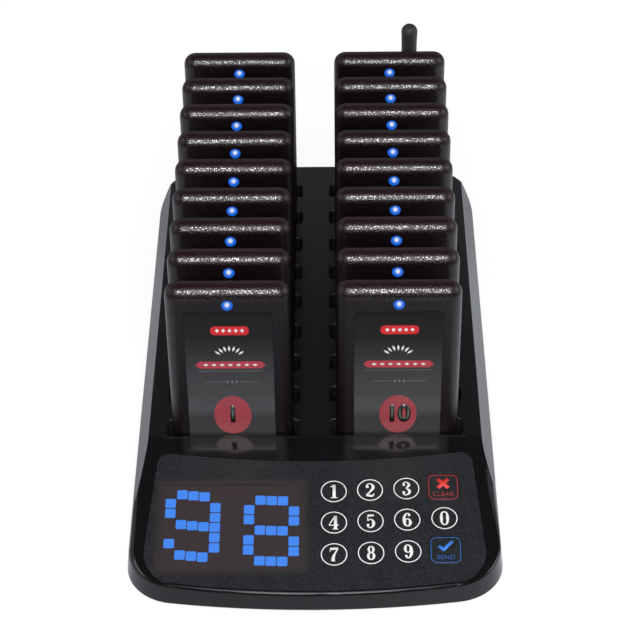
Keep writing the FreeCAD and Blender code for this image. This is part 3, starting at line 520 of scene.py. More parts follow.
def overlay_film():
    material, place = begin("overlay_film")
    colour, grain = film_ink(place)
    x, v = up_the_slope(place)
    window = on_display(x, v, -WINDOW_SOFT, WINDOW_SOFT)
    rim = mix(grain, tint(52, 46, 48), tint(60, 54, 56))
    colour = mix(on_display(x, v, HALO, HALO), colour, rim)
    # Along the bowed front: a painted shadow line for the shade in the gap, and in front of it a painted
    # highlight for the light on the lip's edge.
    from_front = v - FILM_FRONT - bow(x)
    colour = mix(within(from_front, *PAINTED_SHADOW_LINE, PAINTED_SHADOW_SOFT), colour, tint(16, 17, 19))
    painted_highlight = step(from_front, *PAINTED_HIGHLIGHT_EDGE) * step(abs(x), *PAINTED_HIGHLIGHT_SIDES)
    colour = mix(painted_highlight, colour, tint(104, 111, 117))
    smoked = mix(window, colour, mix(grain, tint(61, 52, 53), tint(73, 65, 67)))
    alpha = 1 - window * (1 - WINDOW_HOLDS_BACK)
    finish(place, {"Base Color": smoked, "Alpha": alpha, **film_skin(grain)})
    return material


def key_film():
    material, place = begin("key_film")
    colour, grain = film_ink(place)
    finish(place, {"Base Color": colour, **film_skin(grain)})
    return material


put_on(overlay_film(), "panel_overlay")
put_on(key_film(), *["key_%d" % n for n in range(10)], "key_clear", "key_call")

# %% [markdown]
# ## Lit display
# Each digit is five blocks across and seven up, and the number 98 is lit. No list of dots is needed: every
# third row is a crossbar, and the rows between have blocks only at the sides, which draws an 8. The 9 is
# the same with one side block more and one less. Round maths finds the column and row of the point, counted
# from the digit's middle and its lowest row, and the distance to that block's rounded outline bounds its
# bright face.

# %% Display block
OVERLAY_HALF = 79.3 * MM
DIGIT_MIDDLES = (-0.767 * OVERLAY_HALF, -0.272 * OVERLAY_HALF)
DOT_ROW = 20.4 * MM
DOT_STEP = (5.6 * MM, 6.0 * MM)
DOT_HALF = (2.6 * MM, 2.75 * MM)
DOT_CORNER = 0.7 * MM
DOT_EDGE = (0.10 * MM, -0.12 * MM)
SIDE_COLUMN = 2
TOP_ROW = 6
CROSSBAR_EVERY = 3
HALF = 0.5
DISPLAY_LIGHT = 3.2


def rounded_distance(x, y, half_x, half_y, corner):
    """Signed distance of (x, y) to a rounded rectangle round the origin, below 0 inside it."""
    out_x = (abs(x) - (half_x - corner)).math("MAXIMUM", 0.0)
    out_y = (abs(y) - (half_y - corner)).math("MAXIMUM", 0.0)
    return hypotenuse(out_x, out_y) - corner


def lit_digit(x, v, middle, nine):
    column = ((x - middle) * (1 / DOT_STEP[0])).math("ROUND")
    dot_x = column * DOT_STEP[0] + middle
    low_row = bow(dot_x) + DOT_ROW
    row = ((v - low_row) * (1 / DOT_STEP[1])).math("ROUND")
    inner = abs(column) < SIDE_COLUMN - HALF
    crossbar = row.math("FLOORED_MODULO", CROSSBAR_EVERY) < HALF
    lit = inner * crossbar + (1 - inner) * (1 - crossbar)
    if nine:
        lit = lit + (column > SIDE_COLUMN - HALF) * row.math("COMPARE", CROSSBAR_EVERY, HALF)
        lit = lit - (column < HALF - SIDE_COLUMN) * row.math("COMPARE", CROSSBAR_EVERY - 1, HALF)
    inside = (abs(column) < SIDE_COLUMN + HALF) * (row > -HALF) * (row < TOP_ROW + HALF)
    edge = rounded_distance(x - dot_x, v - low_row - row * DOT_STEP[1], *DOT_HALF, DOT_CORNER)
    return lit * inside * step(edge, *DOT_EDGE)


def display_plastic():
    material, place = begin("display_plastic")
    x, v = up_the_slope(place)
    lit = lit_digit(x, v, DIGIT_MIDDLES[0], True) + lit_digit(x, v, DIGIT_MIDDLES[1], False)
    cloud = noise(place, 3 * MM)
    body = mix(cloud, tint(96, 82, 84), tint(112, 98, 99))
    finish(place, {
        "Base Color": mix(lit, body, tint(60, 120, 235)),
        "Roughness": 0.45 + cloud * 0.1,
        "Emission Color": mix(lit, BLACK, tint(48, 140, 250)),
        "Emission Strength": DISPLAY_LIGHT,
    })
    return material


put_on(display_plastic(), "display_block")

# %% [markdown]
# ## Pager case
# The pagers are moulded in a smoked red plastic, nearly black, with a coarse spark-eroded grain that breaks
# a highlight into glitter. Where fingers lift a pager out, at the top of its front, the grain's peaks are
# worn glossy. The top edge is painted a lighter red: partly the red of the thin plastic, partly painted
# light where the top catches the lamps. The back shell is duller. Two things on the front are finished by
# place, so
# that eighteen pagers share one material: the printed label, with clear lacquer on its lower part, and the
# lamp's domed lens with a white core in blue. The place on the pager comes from folding the rack's two
# columns, and its nine rows, onto each other.

# %% Places on a pager
LABEL_HALF = (22.0 * MM, 43.0 * MM)
LABEL_MIDDLE_Z = FOOT_Z + 53.4 * MM
LABEL_CORNER = 2.0 * MM
LABEL_SHADOW_LINE_TOP = LABEL_MIDDLE_Z + LABEL_HALF[1] - 1 * MM
LABEL_SHADOW_LINE = (LABEL_SHADOW_LINE_TOP - 5 * MM, LABEL_SHADOW_LINE_TOP)
LACQUER_FADES = (FOOT_Z + 44 * MM, FOOT_Z + 32 * MM)
LACQUER_WEARS = (FOOT_Z + 34 * MM, FOOT_Z + 28 * MM)
LACQUER_LOST = 0.6
LENS_Z = FOOT_Z + 100.9 * MM
LENS_R = 2.83 * MM
LENS_DEPTH = 1 * MM
DOME_TOP = 0.55 * MM
CORE_UP = math.radians(36)
CORE_SPREAD = (1.9 * MM, 0.3 * MM)
HANDLED_Z = (FOOT_Z + 102 * MM, FOOT_Z + 105 * MM)
HANDLED_SIDES = (29 * MM, 23 * MM)
TOP_RED_AND_PAINTED_LIGHT_Z = (FOOT_Z + 104 * MM, FOOT_Z + 109 * MM)
BACK_SHELL = (5.0 * MM, 7.5 * MM)
FACING = -0.4


def place_on_pager(place):
    """Across, back from the front face and height, the same on every pager of the rack."""
    x, y, z = parts(place)
    depth = (y - FACE_Y + PITCH / 2).math("FLOORED_MODULO", PITCH) - PITCH / 2
    return abs(x) - COLUMN_X, depth, z


print("lens", round((LENS_Z - FOOT_Z) / MM, 1), "mm above the foot of a pager")

# %% Label and lens
CLEAR_LACQUER = {"Coat Roughness": 0.28, "Coat IOR": 1.9}


def label_print_with_painted_dark_top(z):
    """Grey print, palest low down; its darkening towards the top is painted shade, for the dark that the
    glossy label mirrors there.
    """
    rise = (z - (LABEL_MIDDLE_Z - LABEL_HALF[1])) * (1 / (2 * LABEL_HALF[1]))
    # The darkest stops at the top are painted shade on the grey print.
    stops = [
        (0.05, tint(54, 54, 55)),
        (0.19, tint(59, 59, 60)),
        (0.24, tint(72, 72, 73)),
        (0.30, tint(74, 74, 75)),
        (0.55, tint(61, 61, 64)),
        (0.80, tint(35, 34, 35)),
        (1.00, tint(28, 26, 27)),
    ]
    return rise.node("ShaderNodeValToRGB", {"stops": stops}, {"Fac": rise})


def label_surface(z, edge, grain):
    """Print with a painted shadow line inside its upper edges, where the rim of its recess shades it, and
    lacquer lower down, part worn at the foot.
    """
    # Painted shadow: a dark line just inside the label's upper edges, where the rim of its recess would
    # shade it.
    painted_shadow_line = step(edge, -0.7 * MM, -0.3 * MM) * step(z, *LABEL_SHADOW_LINE)
    return z.node("ShaderNodeBsdfPrincipled", None, {
        "Base Color": mix(painted_shadow_line, label_print_with_painted_dark_top(z), tint(14, 14, 14)),
        "Roughness": 0.55 + grain * 0.1,
        "Specular IOR Level": 0.15,
        "Coat Weight": step(z, *LACQUER_FADES) - step(z, *LACQUER_WEARS) * LACQUER_LOST,
        **CLEAR_LACQUER,
    })


def lens_light(across, depth, z):
    """Blue, and white round a core that sits high on the dome."""
    core_y = DOME_TOP - LENS_R * math.cos(CORE_UP)
    core_z = LENS_Z + LENS_R * math.sin(CORE_UP)
    from_core = hypotenuse(across, depth - core_y, z - core_z)
    return mix(step(from_core, *CORE_SPREAD), tint(18, 104, 222), tint(228, 236, 246))


print("label", [round(2 * half / MM, 1) for half in LABEL_HALF], "mm")

# %% Pager plastic
CASE_GRAIN = 0.9 * MM
GLITTER_SIZE = 0.62 * MM
CASE_BUMP = 0.20 * MM
GLOSSY_PEAKS = (0.54, 0.66)
LENS_STRENGTH = 0.9


def case_surface(place, across, depth, z, grain, lens):
    glitter = noise(place, GLITTER_SIZE, 1.0)
    back_shell = step(depth, *BACK_SHELL)
    polished = step(z, *HANDLED_Z) * step(abs(across), *HANDLED_SIDES) * (1 - back_shell)
    case = mix(grain, tint(14, 8, 9), tint(24, 14, 16))
    # Painted light: the top edge gets a lighter red, for the light that falls on it as well as the red that
    # shows through its thin plastic.
    case = mix(step(z, *TOP_RED_AND_PAINTED_LIGHT_Z), case, tint(33, 15, 20))
    return place.node("ShaderNodeBsdfPrincipled", None, {
        "Base Color": mix(lens, case, tint(4, 26, 70)),
        "Roughness": 0.24 + glitter * 0.14 + back_shell * 0.25,
        "Specular IOR Level": 0.44,
        "Coat Weight": polished * step(glitter, *GLOSSY_PEAKS) * (1 - lens),
        "Coat Roughness": 0.12,
        "Coat IOR": 2.2,
        "Emission Color": mix(lens, BLACK, lens_light(across, depth, z)),
        "Emission Strength": LENS_STRENGTH,
        "Normal": bump(grain + glitter * 0.8, CASE_BUMP),
    })


def pager_plastic():
    material, place = begin("pager_plastic")
    across, depth, z = place_on_pager(place)
    facing = parts(place.beside("Normal"))[1] < FACING
    grain = noise(place, CASE_GRAIN, 3.0)
    lens = (hypotenuse(across, z - LENS_Z) < LENS_R) * (depth < LENS_DEPTH)
    edge = rounded_distance(across, z - LABEL_MIDDLE_Z, *LABEL_HALF, LABEL_CORNER)
    moulded = case_surface(place, across, depth, z, grain, lens)
    printed = label_surface(z, edge, grain)
    surface = place.node("ShaderNodeMixShader", None, {0: facing * (edge < 0), 1: moulded, 2: printed})
    place.node("ShaderNodeOutputMaterial", None, {"Surface": surface})
    return material


put_on(pager_plastic(), *["pager_%02d_case" % n for n in range(1, PAGERS + 1)])

# %% [markdown]
# ## Antenna and the parts at the rear
# The antenna is a rubber sleeve over a spring, so it is dull black and slightly uneven. Its collar is
# knurled for the fingers. The socket under it is brass, the power inlet and the slider are black nylon, and
# the inlet's pin is bright metal. Metals take their look from what they mirror, so their roughness carries
# the detail.

# %% Rubber, brass, nylon and steel
inlet_low, inlet_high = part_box("dc_inlet")
INLET_PIN_R = 1.2 * MM


def antenna_rubber():
    material, place = begin("antenna_rubber")
    fine = noise(place, 0.6 * MM, 3.0)
    colour = mix(fine, tint(38, 38, 39), tint(48, 48, 48))
    finish(place, {"Base Color": colour, "Roughness": 0.5 + fine * 0.12, "Normal": bump(fine, 0.02 * MM)})
    return material


def brass():
    material, place = begin("socket_brass")
    tarnish = noise(place, 1.5 * MM, 4.0)
    colour = mix(tarnish, tint(196, 158, 84), tint(160, 122, 62))
    finish(place, {"Base Color": colour, "Metallic": 1.0, "Roughness": 0.22 + tarnish * 0.25})
    return material


def nylon_black(fine):
    return mix(fine, tint(20, 20, 21), tint(29, 29, 30))


def slider_plastic():
    material, place = begin("slider_plastic")
    fine = noise(place, 0.4 * MM)
    finish(place, {
        "Base Color": nylon_black(fine),
        "Roughness": 0.42 + fine * 0.15,
        "Normal": bump(fine, 0.015 * MM),
    })
    return material


def inlet_plastic():
    """Black nylon round a bright pin that lies on the inlet's own axis."""
    material, place = begin("socket_plastic")
    x, z = parts(place)[::2]
    side = x - (inlet_low.x + inlet_high.x) / 2
    rise = z - (inlet_high.z - (inlet_high.x - inlet_low.x) / 2)
    pin = hypotenuse(side, rise) < INLET_PIN_R
    fine = noise(place, 0.4 * MM)
    colour = mix(pin, nylon_black(fine), tint(198, 194, 184))
    finish(place, {"Base Color": colour, "Metallic": pin, "Roughness": 0.45 - pin * 0.2 + fine * 0.1})
    return material


def screw_steel():
    material, place = begin("screw_steel")
    streak = noise(place, 0.5 * MM, 4.0)
    colour = mix(streak, tint(150, 151, 154), tint(190, 190, 192))
    finish(place, {"Base Color": colour, "Metallic": 1.0, "Roughness": 0.25 + streak * 0.2})
    return material


put_on(antenna_rubber(), "antenna")
put_on(brass(), "antenna_socket")
put_on(slider_plastic(), "power_slider")
put_on(inlet_plastic(), "dc_inlet")
put_on(screw_steel(), "screws")

# %% [markdown]
# ## Circuit boards
# The boards are green laminate with copper lines under the varnish. In the base, what stands on a board is
# told apart by its height over it: black chips and switches, or bright contact pins. The board in a pager
# stands upright, so there the depth behind the face decides.

# %% Boards and what is on them
charger_low, charger_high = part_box("charging_board")
CHARGER_T = 1.7 * MM
SWITCH_DEPTH = 6 * MM
CONTROL_TOP = (-6.2 * MM, -6.0 * MM)
CONTROL_UNDER = (-7.6 * MM, -7.8 * MM)
CORE_BOARD = (3.0 * MM, 4.6 * MM)
CONTACT_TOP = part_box("pager_01_core")[0].z + 10.2 * MM


def stripes(value, spacing, share):
    """1 in lines that cover this share of each spacing."""
    return (value * (1 / spacing)).math("FRACT") < share


def laminate(place, across, along):
    """Green varnish over copper lines that run one way and then the other."""
    zone = noise(place, 11 * MM) > 0.5
    copper = stripes(across, 1.3 * MM, 0.22) * zone + stripes(along, 1.7 * MM, 0.2) * (1 - zone)
    return mix(copper, tint(16, 74, 44), tint(46, 112, 62))


def chip_black(fine):
    return mix(fine, tint(24, 24, 25), tint(34, 34, 36))


def control_laminate():
    material, place = begin("board_laminate")
    x, v = up_the_slope(place)
    y, z = parts(place)[1:]
    over = (z - LIP_H) * SLOPE_RUN - (y - FRONT_Y) * SLOPE_RISE
    on_board = step(over, *CONTROL_TOP) + step(over, *CONTROL_UNDER)
    fine = noise(place, 0.5 * MM)
    finish(place, {
        "Base Color": mix(on_board, laminate(place, x, v), chip_black(fine)),
        "Roughness": 0.32 + fine * 0.2,
    })
    return material


def charging_laminate():
    material, place = begin("charging_laminate")
    x, y, z = parts(place)
    raised = z > charger_low.z + CHARGER_T
    switch = raised * (y > charger_high.y - SWITCH_DEPTH)
    pin = raised * (1 - switch)
    fine = noise(place, 0.5 * MM)
    green = mix(switch, laminate(place, x, y), chip_black(fine))
    finish(place, {
        "Base Color": mix(pin, green, tint(226, 190, 110)),
        "Metallic": pin,
        "Roughness": 0.3 + fine * 0.15,
    })
    return material


def pager_inside():
    """Green board, silver cell behind it, bright contacts at the foot."""
    material, place = begin("pager_core")
    x, y, z = parts(place)
    depth = (y - FACE_Y).math("FLOORED_MODULO", PITCH)
    board = within(depth, *CORE_BOARD, 0.02 * MM) * (1 - (z < CONTACT_TOP))
    fine = noise(place, 0.8 * MM)
    metal = mix(fine, tint(168, 170, 174), tint(198, 199, 202))
    finish(place, {
        "Base Color": mix(board, metal, laminate(place, x, z)),
        "Metallic": 1 - board,
        "Roughness": 0.28 + fine * 0.2,
    })
    return material


put_on(control_laminate(), "control_board")
put_on(charging_laminate(), "charging_board")
put_on(pager_inside(), *["pager_%02d_core" % n for n in range(1, PAGERS + 1)])

# %% [markdown]
# ## Printed and raised marks
# Every mark on the keys and labels is a very thin plate of its own colour. Each is drawn flat on the ground
# round the origin, thickened, and then carried to its place. These helpers do the parts that repeat.
# Blender's operators act on what is selected, so the first of them clears the selection.

# %% Helpers for thin plates
THIN_COVER = 0.84


def only(*pieces):
    """Selects these pieces and nothing else; the first is the active one."""
    bpy.ops.object.select_all(action="DESELECT")
    for piece in pieces:
        piece.select_set(True)
    bpy.context.view_layer.objects.active = pieces[0]


def apply_place(piece):
    only(piece)
    bpy.ops.object.transform_apply(location=True, rotation=True, scale=True)


def move(piece, x, y):
    piece.location = (x, y, 0)
    apply_place(piece)
    return piece


def open_whole(piece):
    """Edit mode, with every corner, edge and face selected."""
    only(piece)
    bpy.ops.object.mode_set(mode="EDIT")
    bpy.ops.mesh.select_all(action="SELECT")


def thicken(piece, thickness):
    """Turns a flat shape into a closed plate that rises from the ground."""
    only(piece)
    bpy.ops.object.modifier_add(type="SOLIDIFY")
    piece.modifiers[-1].thickness = thickness
    piece.modifiers[-1].offset = 1.0
    bpy.ops.object.modifier_apply(modifier=piece.modifiers[-1].name)
    open_whole(piece)
    bpy.ops.mesh.normals_make_consistent(inside=False)
    bpy.ops.object.mode_set(mode="OBJECT")


def lettering(text, size, wide, grow, spacing=1.0):
    """Flat words in the built-in letters, made a mesh, with their middle at the origin."""
    bpy.ops.object.text_add()
    letters = bpy.context.object
    letters.data.body = text
    letters.data.align_x = "CENTER"
    letters.data.align_y = "CENTER"
    letters.data.size = size
    letters.data.offset = grow
    letters.data.space_character = spacing
    letters.scale = (wide, 1, 1)
    only(letters)
    bpy.ops.object.convert(target="MESH")
    apply_place(bpy.context.object)
    return bpy.context.object


def joined(pieces):
    only(*pieces)
    if len(pieces) > 1:
        bpy.ops.object.join()
    return bpy.context.object


def one_piece(pieces, name, material):
    """Joins flat shapes into one piece of one colour."""
    for piece in pieces:
        piece.data.materials.clear()
        piece.data.materials.append(material)
    made = joined(pieces)
    made.name = name
    made.data.name = name
    return made


def copy_of(piece, name):
    only(piece)
    bpy.ops.object.duplicate(linked=False)
    made = bpy.context.object
    made.name = name
    made.data.name = name
    return made


def carry(piece, place, body):
    """Moves a piece to its place for good, and lets it ride."""
    piece.matrix_world = place @ piece.matrix_world
    apply_place(piece)
    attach(piece, body)


def ink(name, colour, gloss=0.42, lacquer=0.0):
    """Print with slight unevenness in its cover, under clear lacquer or bare."""
    material, place = begin(name)
    cover = noise(place, 0.5 * MM, 3.0)
    red, green, blue, full = colour
    thin = (red * THIN_COVER, green * THIN_COVER, blue * THIN_COVER, full)
    finish(place, {
        "Base Color": mix(cover, thin, colour),
        "Roughness": gloss + cover * 0.1,
        "Coat Weight": lacquer,
        **CLEAR_LACQUER,
    })
    return material


print("helpers for plates ready")

# %% [markdown]
# ## Digits of the keys
# The keys carry bold figures with thick stems and hair-thin joins, as old news headings do. Such a figure
# is what a broad pen leaves when its pressure changes. So each is a few pen strokes: a curve that has a
# width at every point. Tilted by a quarter turn, a curve's extrusion lies flat, and its width follows the
# point's radius. Each stroke is a little thicker than the last, so that no two tops lie in one plane.

# %% Pen strokes
LEGEND_T = 0.05 * MM
STROKE_STEP = 0.006 * MM
CURVE_STEPS = 8
BLOB_SIDES = 20


def stroke(points, size, layer, closed=False, straight=False):
    """A flat ribbon along (x, y, width) points, in shares of the figure's height."""
    bpy.ops.curve.primitive_bezier_curve_add()
    pen = bpy.context.object
    pen.data.dimensions = "3D"
    pen.data.twist_mode = "Z_UP"
    pen.data.extrude = size / 2
    pen.data.resolution_u = CURVE_STEPS
    line = pen.data.splines[0]
    line.bezier_points.add(len(points) - 2)
    line.use_cyclic_u = closed
    handle = "VECTOR" if straight else "AUTO"
    for knot, (x, y, width) in zip(line.bezier_points, points):
        knot.co = (x * size, y * size, 0)
        knot.radius = width
        knot.tilt = math.pi / 2
        knot.handle_left_type = handle
        knot.handle_right_type = handle
    only(pen)
    bpy.ops.object.convert(target="MESH")
    thicken(bpy.context.object, LEGEND_T + layer * STROKE_STEP)
    return bpy.context.object


def blob(x, y, radius, size, layer):
    """The round end of a stroke."""
    place = (x * size, y * size, 0)
    bpy.ops.mesh.primitive_circle_add(
        vertices=BLOB_SIDES, radius=radius * size, location=place, fill_type="NGON")
    made = bpy.context.object
    apply_place(made)
    thicken(made, LEGEND_T + layer * STROKE_STEP)
    return made


print("pen ready")

# %% Figures 0 to 9
DIGIT_H = 8.2 * MM
THIN = 0.06
LOOP, STRAIGHT = {"closed": True}, {"straight": True}
SIX = [
    ([(0.14, 0.37, 0.10), (0.02, 0.46, 0.06), (-0.14, 0.30, 0.15), (-0.19, -0.08, 0.20),
      (-0.12, -0.38, 0.12), (0.01, -0.465, 0.06)], {}),
    ([(0.01, 0.06, 0.06), (0.18, -0.20, 0.19), (0.01, -0.465, 0.07), (-0.13, -0.20, 0.10)], LOOP),
]
FIGURES = {
    "0": ([([(0.185, 0, 0.19), (0, 0.465, 0.07), (-0.185, 0, 0.19), (0, -0.465, 0.07)], LOOP)], []),
    "1": ([([(0.02, -0.48, 0.19), (0.02, 0.50, 0.19)], STRAIGHT),
           ([(0.00, 0.45, 0.10), (-0.20, 0.33, 0.06)], STRAIGHT),
           ([(-0.19, -0.47, THIN), (0.23, -0.47, THIN)], STRAIGHT)], []),
    "2": ([([(-0.22, 0.24, 0.06), (-0.16, 0.41, 0.07), (0.02, 0.465, 0.07), (0.19, 0.24, 0.20),
             (0.04, -0.08, 0.13), (-0.22, -0.36, 0.08)], {}),
           ([(-0.25, -0.40, 0.10), (-0.10, -0.40, 0.17), (0.12, -0.43, 0.15), (0.25, -0.27, THIN)], {})],
          [(-0.165, 0.24, 0.095)]),
    "3": ([([(-0.21, 0.28, 0.06), (-0.14, 0.43, 0.07), (0.02, 0.465, 0.07), (0.16, 0.26, 0.18),
             (-0.02, 0.03, THIN)], {}),
           ([(-0.02, 0.03, THIN), (0.19, -0.20, 0.20), (0.02, -0.465, 0.07), (-0.16, -0.42, 0.07),
             (-0.22, -0.29, 0.06)], {})],
          [(-0.155, 0.28, 0.085), (-0.16, -0.29, 0.09)]),
    "4": ([([(0.09, -0.48, 0.19), (0.09, 0.49, 0.19)], STRAIGHT),
           ([(0.05, 0.47, 0.07), (-0.28, -0.16, 0.06)], STRAIGHT),
           ([(-0.31, -0.19, 0.07), (0.29, -0.19, 0.07)], STRAIGHT),
           ([(-0.08, -0.47, THIN), (0.26, -0.47, THIN)], STRAIGHT)], []),
    "5": ([([(-0.17, 0.41, 0.16), (0.21, 0.42, 0.13)], STRAIGHT),
           ([(-0.165, 0.45, 0.06), (-0.165, 0.02, 0.06)], STRAIGHT),
           ([(-0.16, 0.03, THIN), (0.02, 0.13, 0.07), (0.18, -0.16, 0.20), (0.01, -0.465, 0.07),
             (-0.16, -0.42, 0.07), (-0.21, -0.29, 0.06)], {})],
          [(-0.155, -0.29, 0.09)]),
    "6": (SIX, [(0.12, 0.33, 0.08)]),
    "7": ([([(-0.22, 0.40, 0.17), (0.24, 0.42, 0.15)], STRAIGHT),
           ([(-0.22, 0.48, 0.05), (-0.24, 0.20, 0.05)], STRAIGHT),
           ([(0.24, 0.40, 0.06), (0.05, 0.06, 0.11), (-0.05, -0.24, 0.19), (-0.06, -0.49, 0.22)], {})], []),
    "8": ([([(0.14, 0.25, 0.15), (0, 0.465, 0.07), (-0.14, 0.25, 0.15), (0, 0.03, 0.08)], LOOP),
           ([(0.17, -0.22, 0.17), (0, 0.03, 0.08), (-0.17, -0.22, 0.17), (0, -0.465, 0.07)], LOOP)], []),
}
FIGURES["9"] = (
    [([(-x, -y, width) for x, y, width in points], way) for points, way in SIX],
    [(-0.12, -0.33, 0.08)],
)


def figure(digit, size, name, material):
    strokes, ends = FIGURES[digit]
    pieces = [stroke(points, size, layer, **way) for layer, (points, way) in enumerate(strokes)]
    pieces += [blob(x, y, r, size, len(strokes) + k) for k, (x, y, r) in enumerate(ends)]
    return one_piece(pieces, name, material)


print("figures:", sorted(FIGURES))

# %% [markdown]
# ## Frames of the keys
# A number key has a thin white ring. The two wide keys have a rounded square with a word in it, in a darker
# ink than their mark. Both frames start as one flat face whose outline is inset, and the middle is deleted,
# so that a frame of even width is left.

# %% Frames
RING_D = 13.0 * MM
RING_SIDES = 72
RING_LINE = 0.48 * MM
SQUARE = 14.9 * MM
SQUARE_R = 3.0 * MM
SQUARE_LINE = 0.38 * MM


def hollow(piece, line):
    """Leaves only a frame of this width along the outline of a flat face."""
    open_whole(piece)
    bpy.ops.mesh.inset(thickness=line)
    bpy.ops.mesh.delete(type="FACE")
    bpy.ops.object.mode_set(mode="OBJECT")
    thicken(piece, LEGEND_T)
    return piece


def round_corners(piece, radius, segments=8):
    open_whole(piece)
    bpy.ops.mesh.bevel(offset=radius, segments=segments, affect="VERTICES")
    bpy.ops.object.mode_set(mode="OBJECT")


def ring_frame():
    bpy.ops.mesh.primitive_circle_add(vertices=RING_SIDES, radius=RING_D / 2, fill_type="NGON")
    return hollow(bpy.context.object, RING_LINE)


def square_frame():
    bpy.ops.mesh.primitive_plane_add(size=SQUARE)
    piece = bpy.context.object
    round_corners(piece, SQUARE_R)
    return hollow(piece, SQUARE_LINE)


print("frames of", RING_D / MM, "and", SQUARE / MM, "mm")

# %% Legends on their keys
KEY_COLUMNS = [share * OVERLAY_HALF for share in (0.12, 0.349, 0.579, 0.812)]
KEY_ROWS = (61.4 * MM, 42.6 * MM, 23.8 * MM)
KEY_TILT = math.tan(math.radians(2.4))
LAYOUT = (("1", "2", "3", "clear"), ("4", "5", "6", "0"), ("7", "8", "9", "call"))
MARK_H = 0.84 * DIGIT_H
MARK_UP = 2.3 * MM
WORD_SIZE = 3.78 * MM
WORD_WIDE = 0.98
WORD_THINNED = -0.0324 * MM
WORD_UP = -4.3 * MM
white_ink = ink("white_ink", tint(254, 254, 255))
red_ink = ink("red_ink", tint(240, 66, 56))
blue_ink = ink("blue_ink", tint(60, 138, 240))
dark_red_ink = ink("dark_red_ink", tint(176, 48, 50))
dark_blue_ink = ink("dark_blue_ink", tint(44, 104, 186))


def carry_to_key(piece, key, row, column):
    x = KEY_COLUMNS[column]
    place = keypad @ Matrix.Translation((x, KEY_ROWS[row] + x * KEY_TILT, OVERLAY_TOP))
    carry(piece, place, "key_" + key)


def round_legend(digit, row, column, ring):
    carry_to_key(figure(digit, DIGIT_H, "legend_" + digit, white_ink), digit, row, column)
    carry_to_key(copy_of(ring, "ring_" + digit), digit, row, column)


def wide_legend(name, row, bright, dark, strokes, text):
    marks = [move(stroke(points, MARK_H, layer, straight=True), 0, MARK_UP)
             for layer, points in enumerate(strokes)]
    mark = one_piece(marks, "legend_" + name, bright)
    carry_to_key(mark, name, row, 3)
    word = lettering(text, WORD_SIZE, WORD_WIDE, WORD_THINNED)
    thicken(word, LEGEND_T)
    outline = one_piece([square_frame()], "outline", dark)
    frame_of_key = one_piece([outline, move(word, 0, WORD_UP)], "frame_" + name, dark)
    carry_to_key(frame_of_key, name, row, 3)


CROSS = ([(-0.38, -0.40, 0.30), (0.38, 0.40, 0.30)], [(-0.38, 0.40, 0.30), (0.38, -0.40, 0.30)])
TICK = ([(-0.48, 0.02, 0.24), (-0.10, -0.36, 0.24)], [(-0.19, -0.36, 0.24), (0.50, 0.42, 0.24)])

first_ring = one_piece([ring_frame()], "ring", white_ink)
for row, keys in enumerate(LAYOUT):
    for column, key in enumerate(keys):
        if key.isdigit():
            round_legend(key, row, column, first_ring)
bpy.data.objects.remove(first_ring)
wide_legend("clear", 0, red_ink, dark_red_ink, CROSS, "CLEAR")
wide_legend("call", 2, blue_ink, dark_blue_ink, TICK, "SEND")
print("legends on", sum(len(keys) for keys in LAYOUT), "keys")

# %% [markdown]
# ## Pager labels
# A label carries a small badge, a fan of rays, a band, two thin rules and a disc with the pager's number.
# The art is the same on all eighteen, so it is drawn once and copied, and only the number is new. The disc
# is taller than wide, because people look down on the rack and see it foreshortened.

# %% Parts of the label art
ART_T = 0.02 * MM
ART_STEP = 0.008 * MM
OVAL_SIDES = 64
label_red = ink("label_red", tint(176, 62, 72), 0.3)
badge_red = ink("badge_red", tint(208, 30, 34), 0.3)
label_white = ink("label_white", tint(226, 226, 226), 0.3)
label_grey = ink("label_grey", tint(112, 112, 113), 0.3)
disc_red = ink("disc_red", tint(170, 60, 70), 0.4, 1.0)
number_dark = ink("number_dark", tint(24, 28, 28), 0.4, 1.0)


def flat(piece, x, y, material, layer):
    """Sets a flat shape down on the label; a higher layer stands a little prouder."""
    move(piece, x, y)
    thicken(piece, ART_T + layer * ART_STEP)
    return one_piece([piece], "art", material)


def stretched(piece, width, height):
    piece.scale = (width, height, 1)
    apply_place(piece)
    return piece


def bar(width, height, radius=0, segments=5):
    bpy.ops.mesh.primitive_plane_add(size=1)
    piece = stretched(bpy.context.object, width, height)
    if radius:
        round_corners(piece, radius, segments)
    return piece


def oval(width, height, sides=OVAL_SIDES):
    bpy.ops.mesh.primitive_circle_add(vertices=sides, radius=0.5, fill_type="NGON")
    return stretched(bpy.context.object, width, height)


def diamond(width, height):
    return oval(width, height, 4)


def pointed_band(width, height):
    """A band whose two ends come to a point, because each corner is cut by half the height."""
    return bar(width, height, 0.49 * height, 1)


def diamonds(count, spacing, size, at, material, layer):
    """A row of diamonds on both sides of a middle."""
    return [flat(diamond(*size), at[0] + spacing * (k - count // 2), at[1], material, layer)
            for k in range(count)]


def fan(count, turn, inner, outer, width, at):
    """Rays round a middle, each at its own angle from upright."""
    rays = []
    for k in range(count):
        angle = turn * (k - count // 2)
        reach = (inner + outer) / 2
        piece = diamond(width, outer - inner)
        piece.rotation_euler = (0, 0, -angle)
        x, y = at[0] + reach * math.sin(angle), at[1] + reach * math.cos(angle)
        rays.append(flat(piece, x, y, label_white, 0))
    return rays


print("label shapes ready")

# %% Label art
BADGE_AT = (0.6 * MM, 84.8 * MM)
FAN_AT = (0.0, 65.8 * MM)
BAND_AT = (0.3 * MM, 62.6 * MM)
RULE_AT = (0.3 * MM, 58.6 * MM)
SHORT_RULE_AT = (0.8 * MM, 51.4 * MM)
SHORT_RULE_OUT = 8.4 * MM
NUMBER_AT = (0.4 * MM, 29.1 * MM)


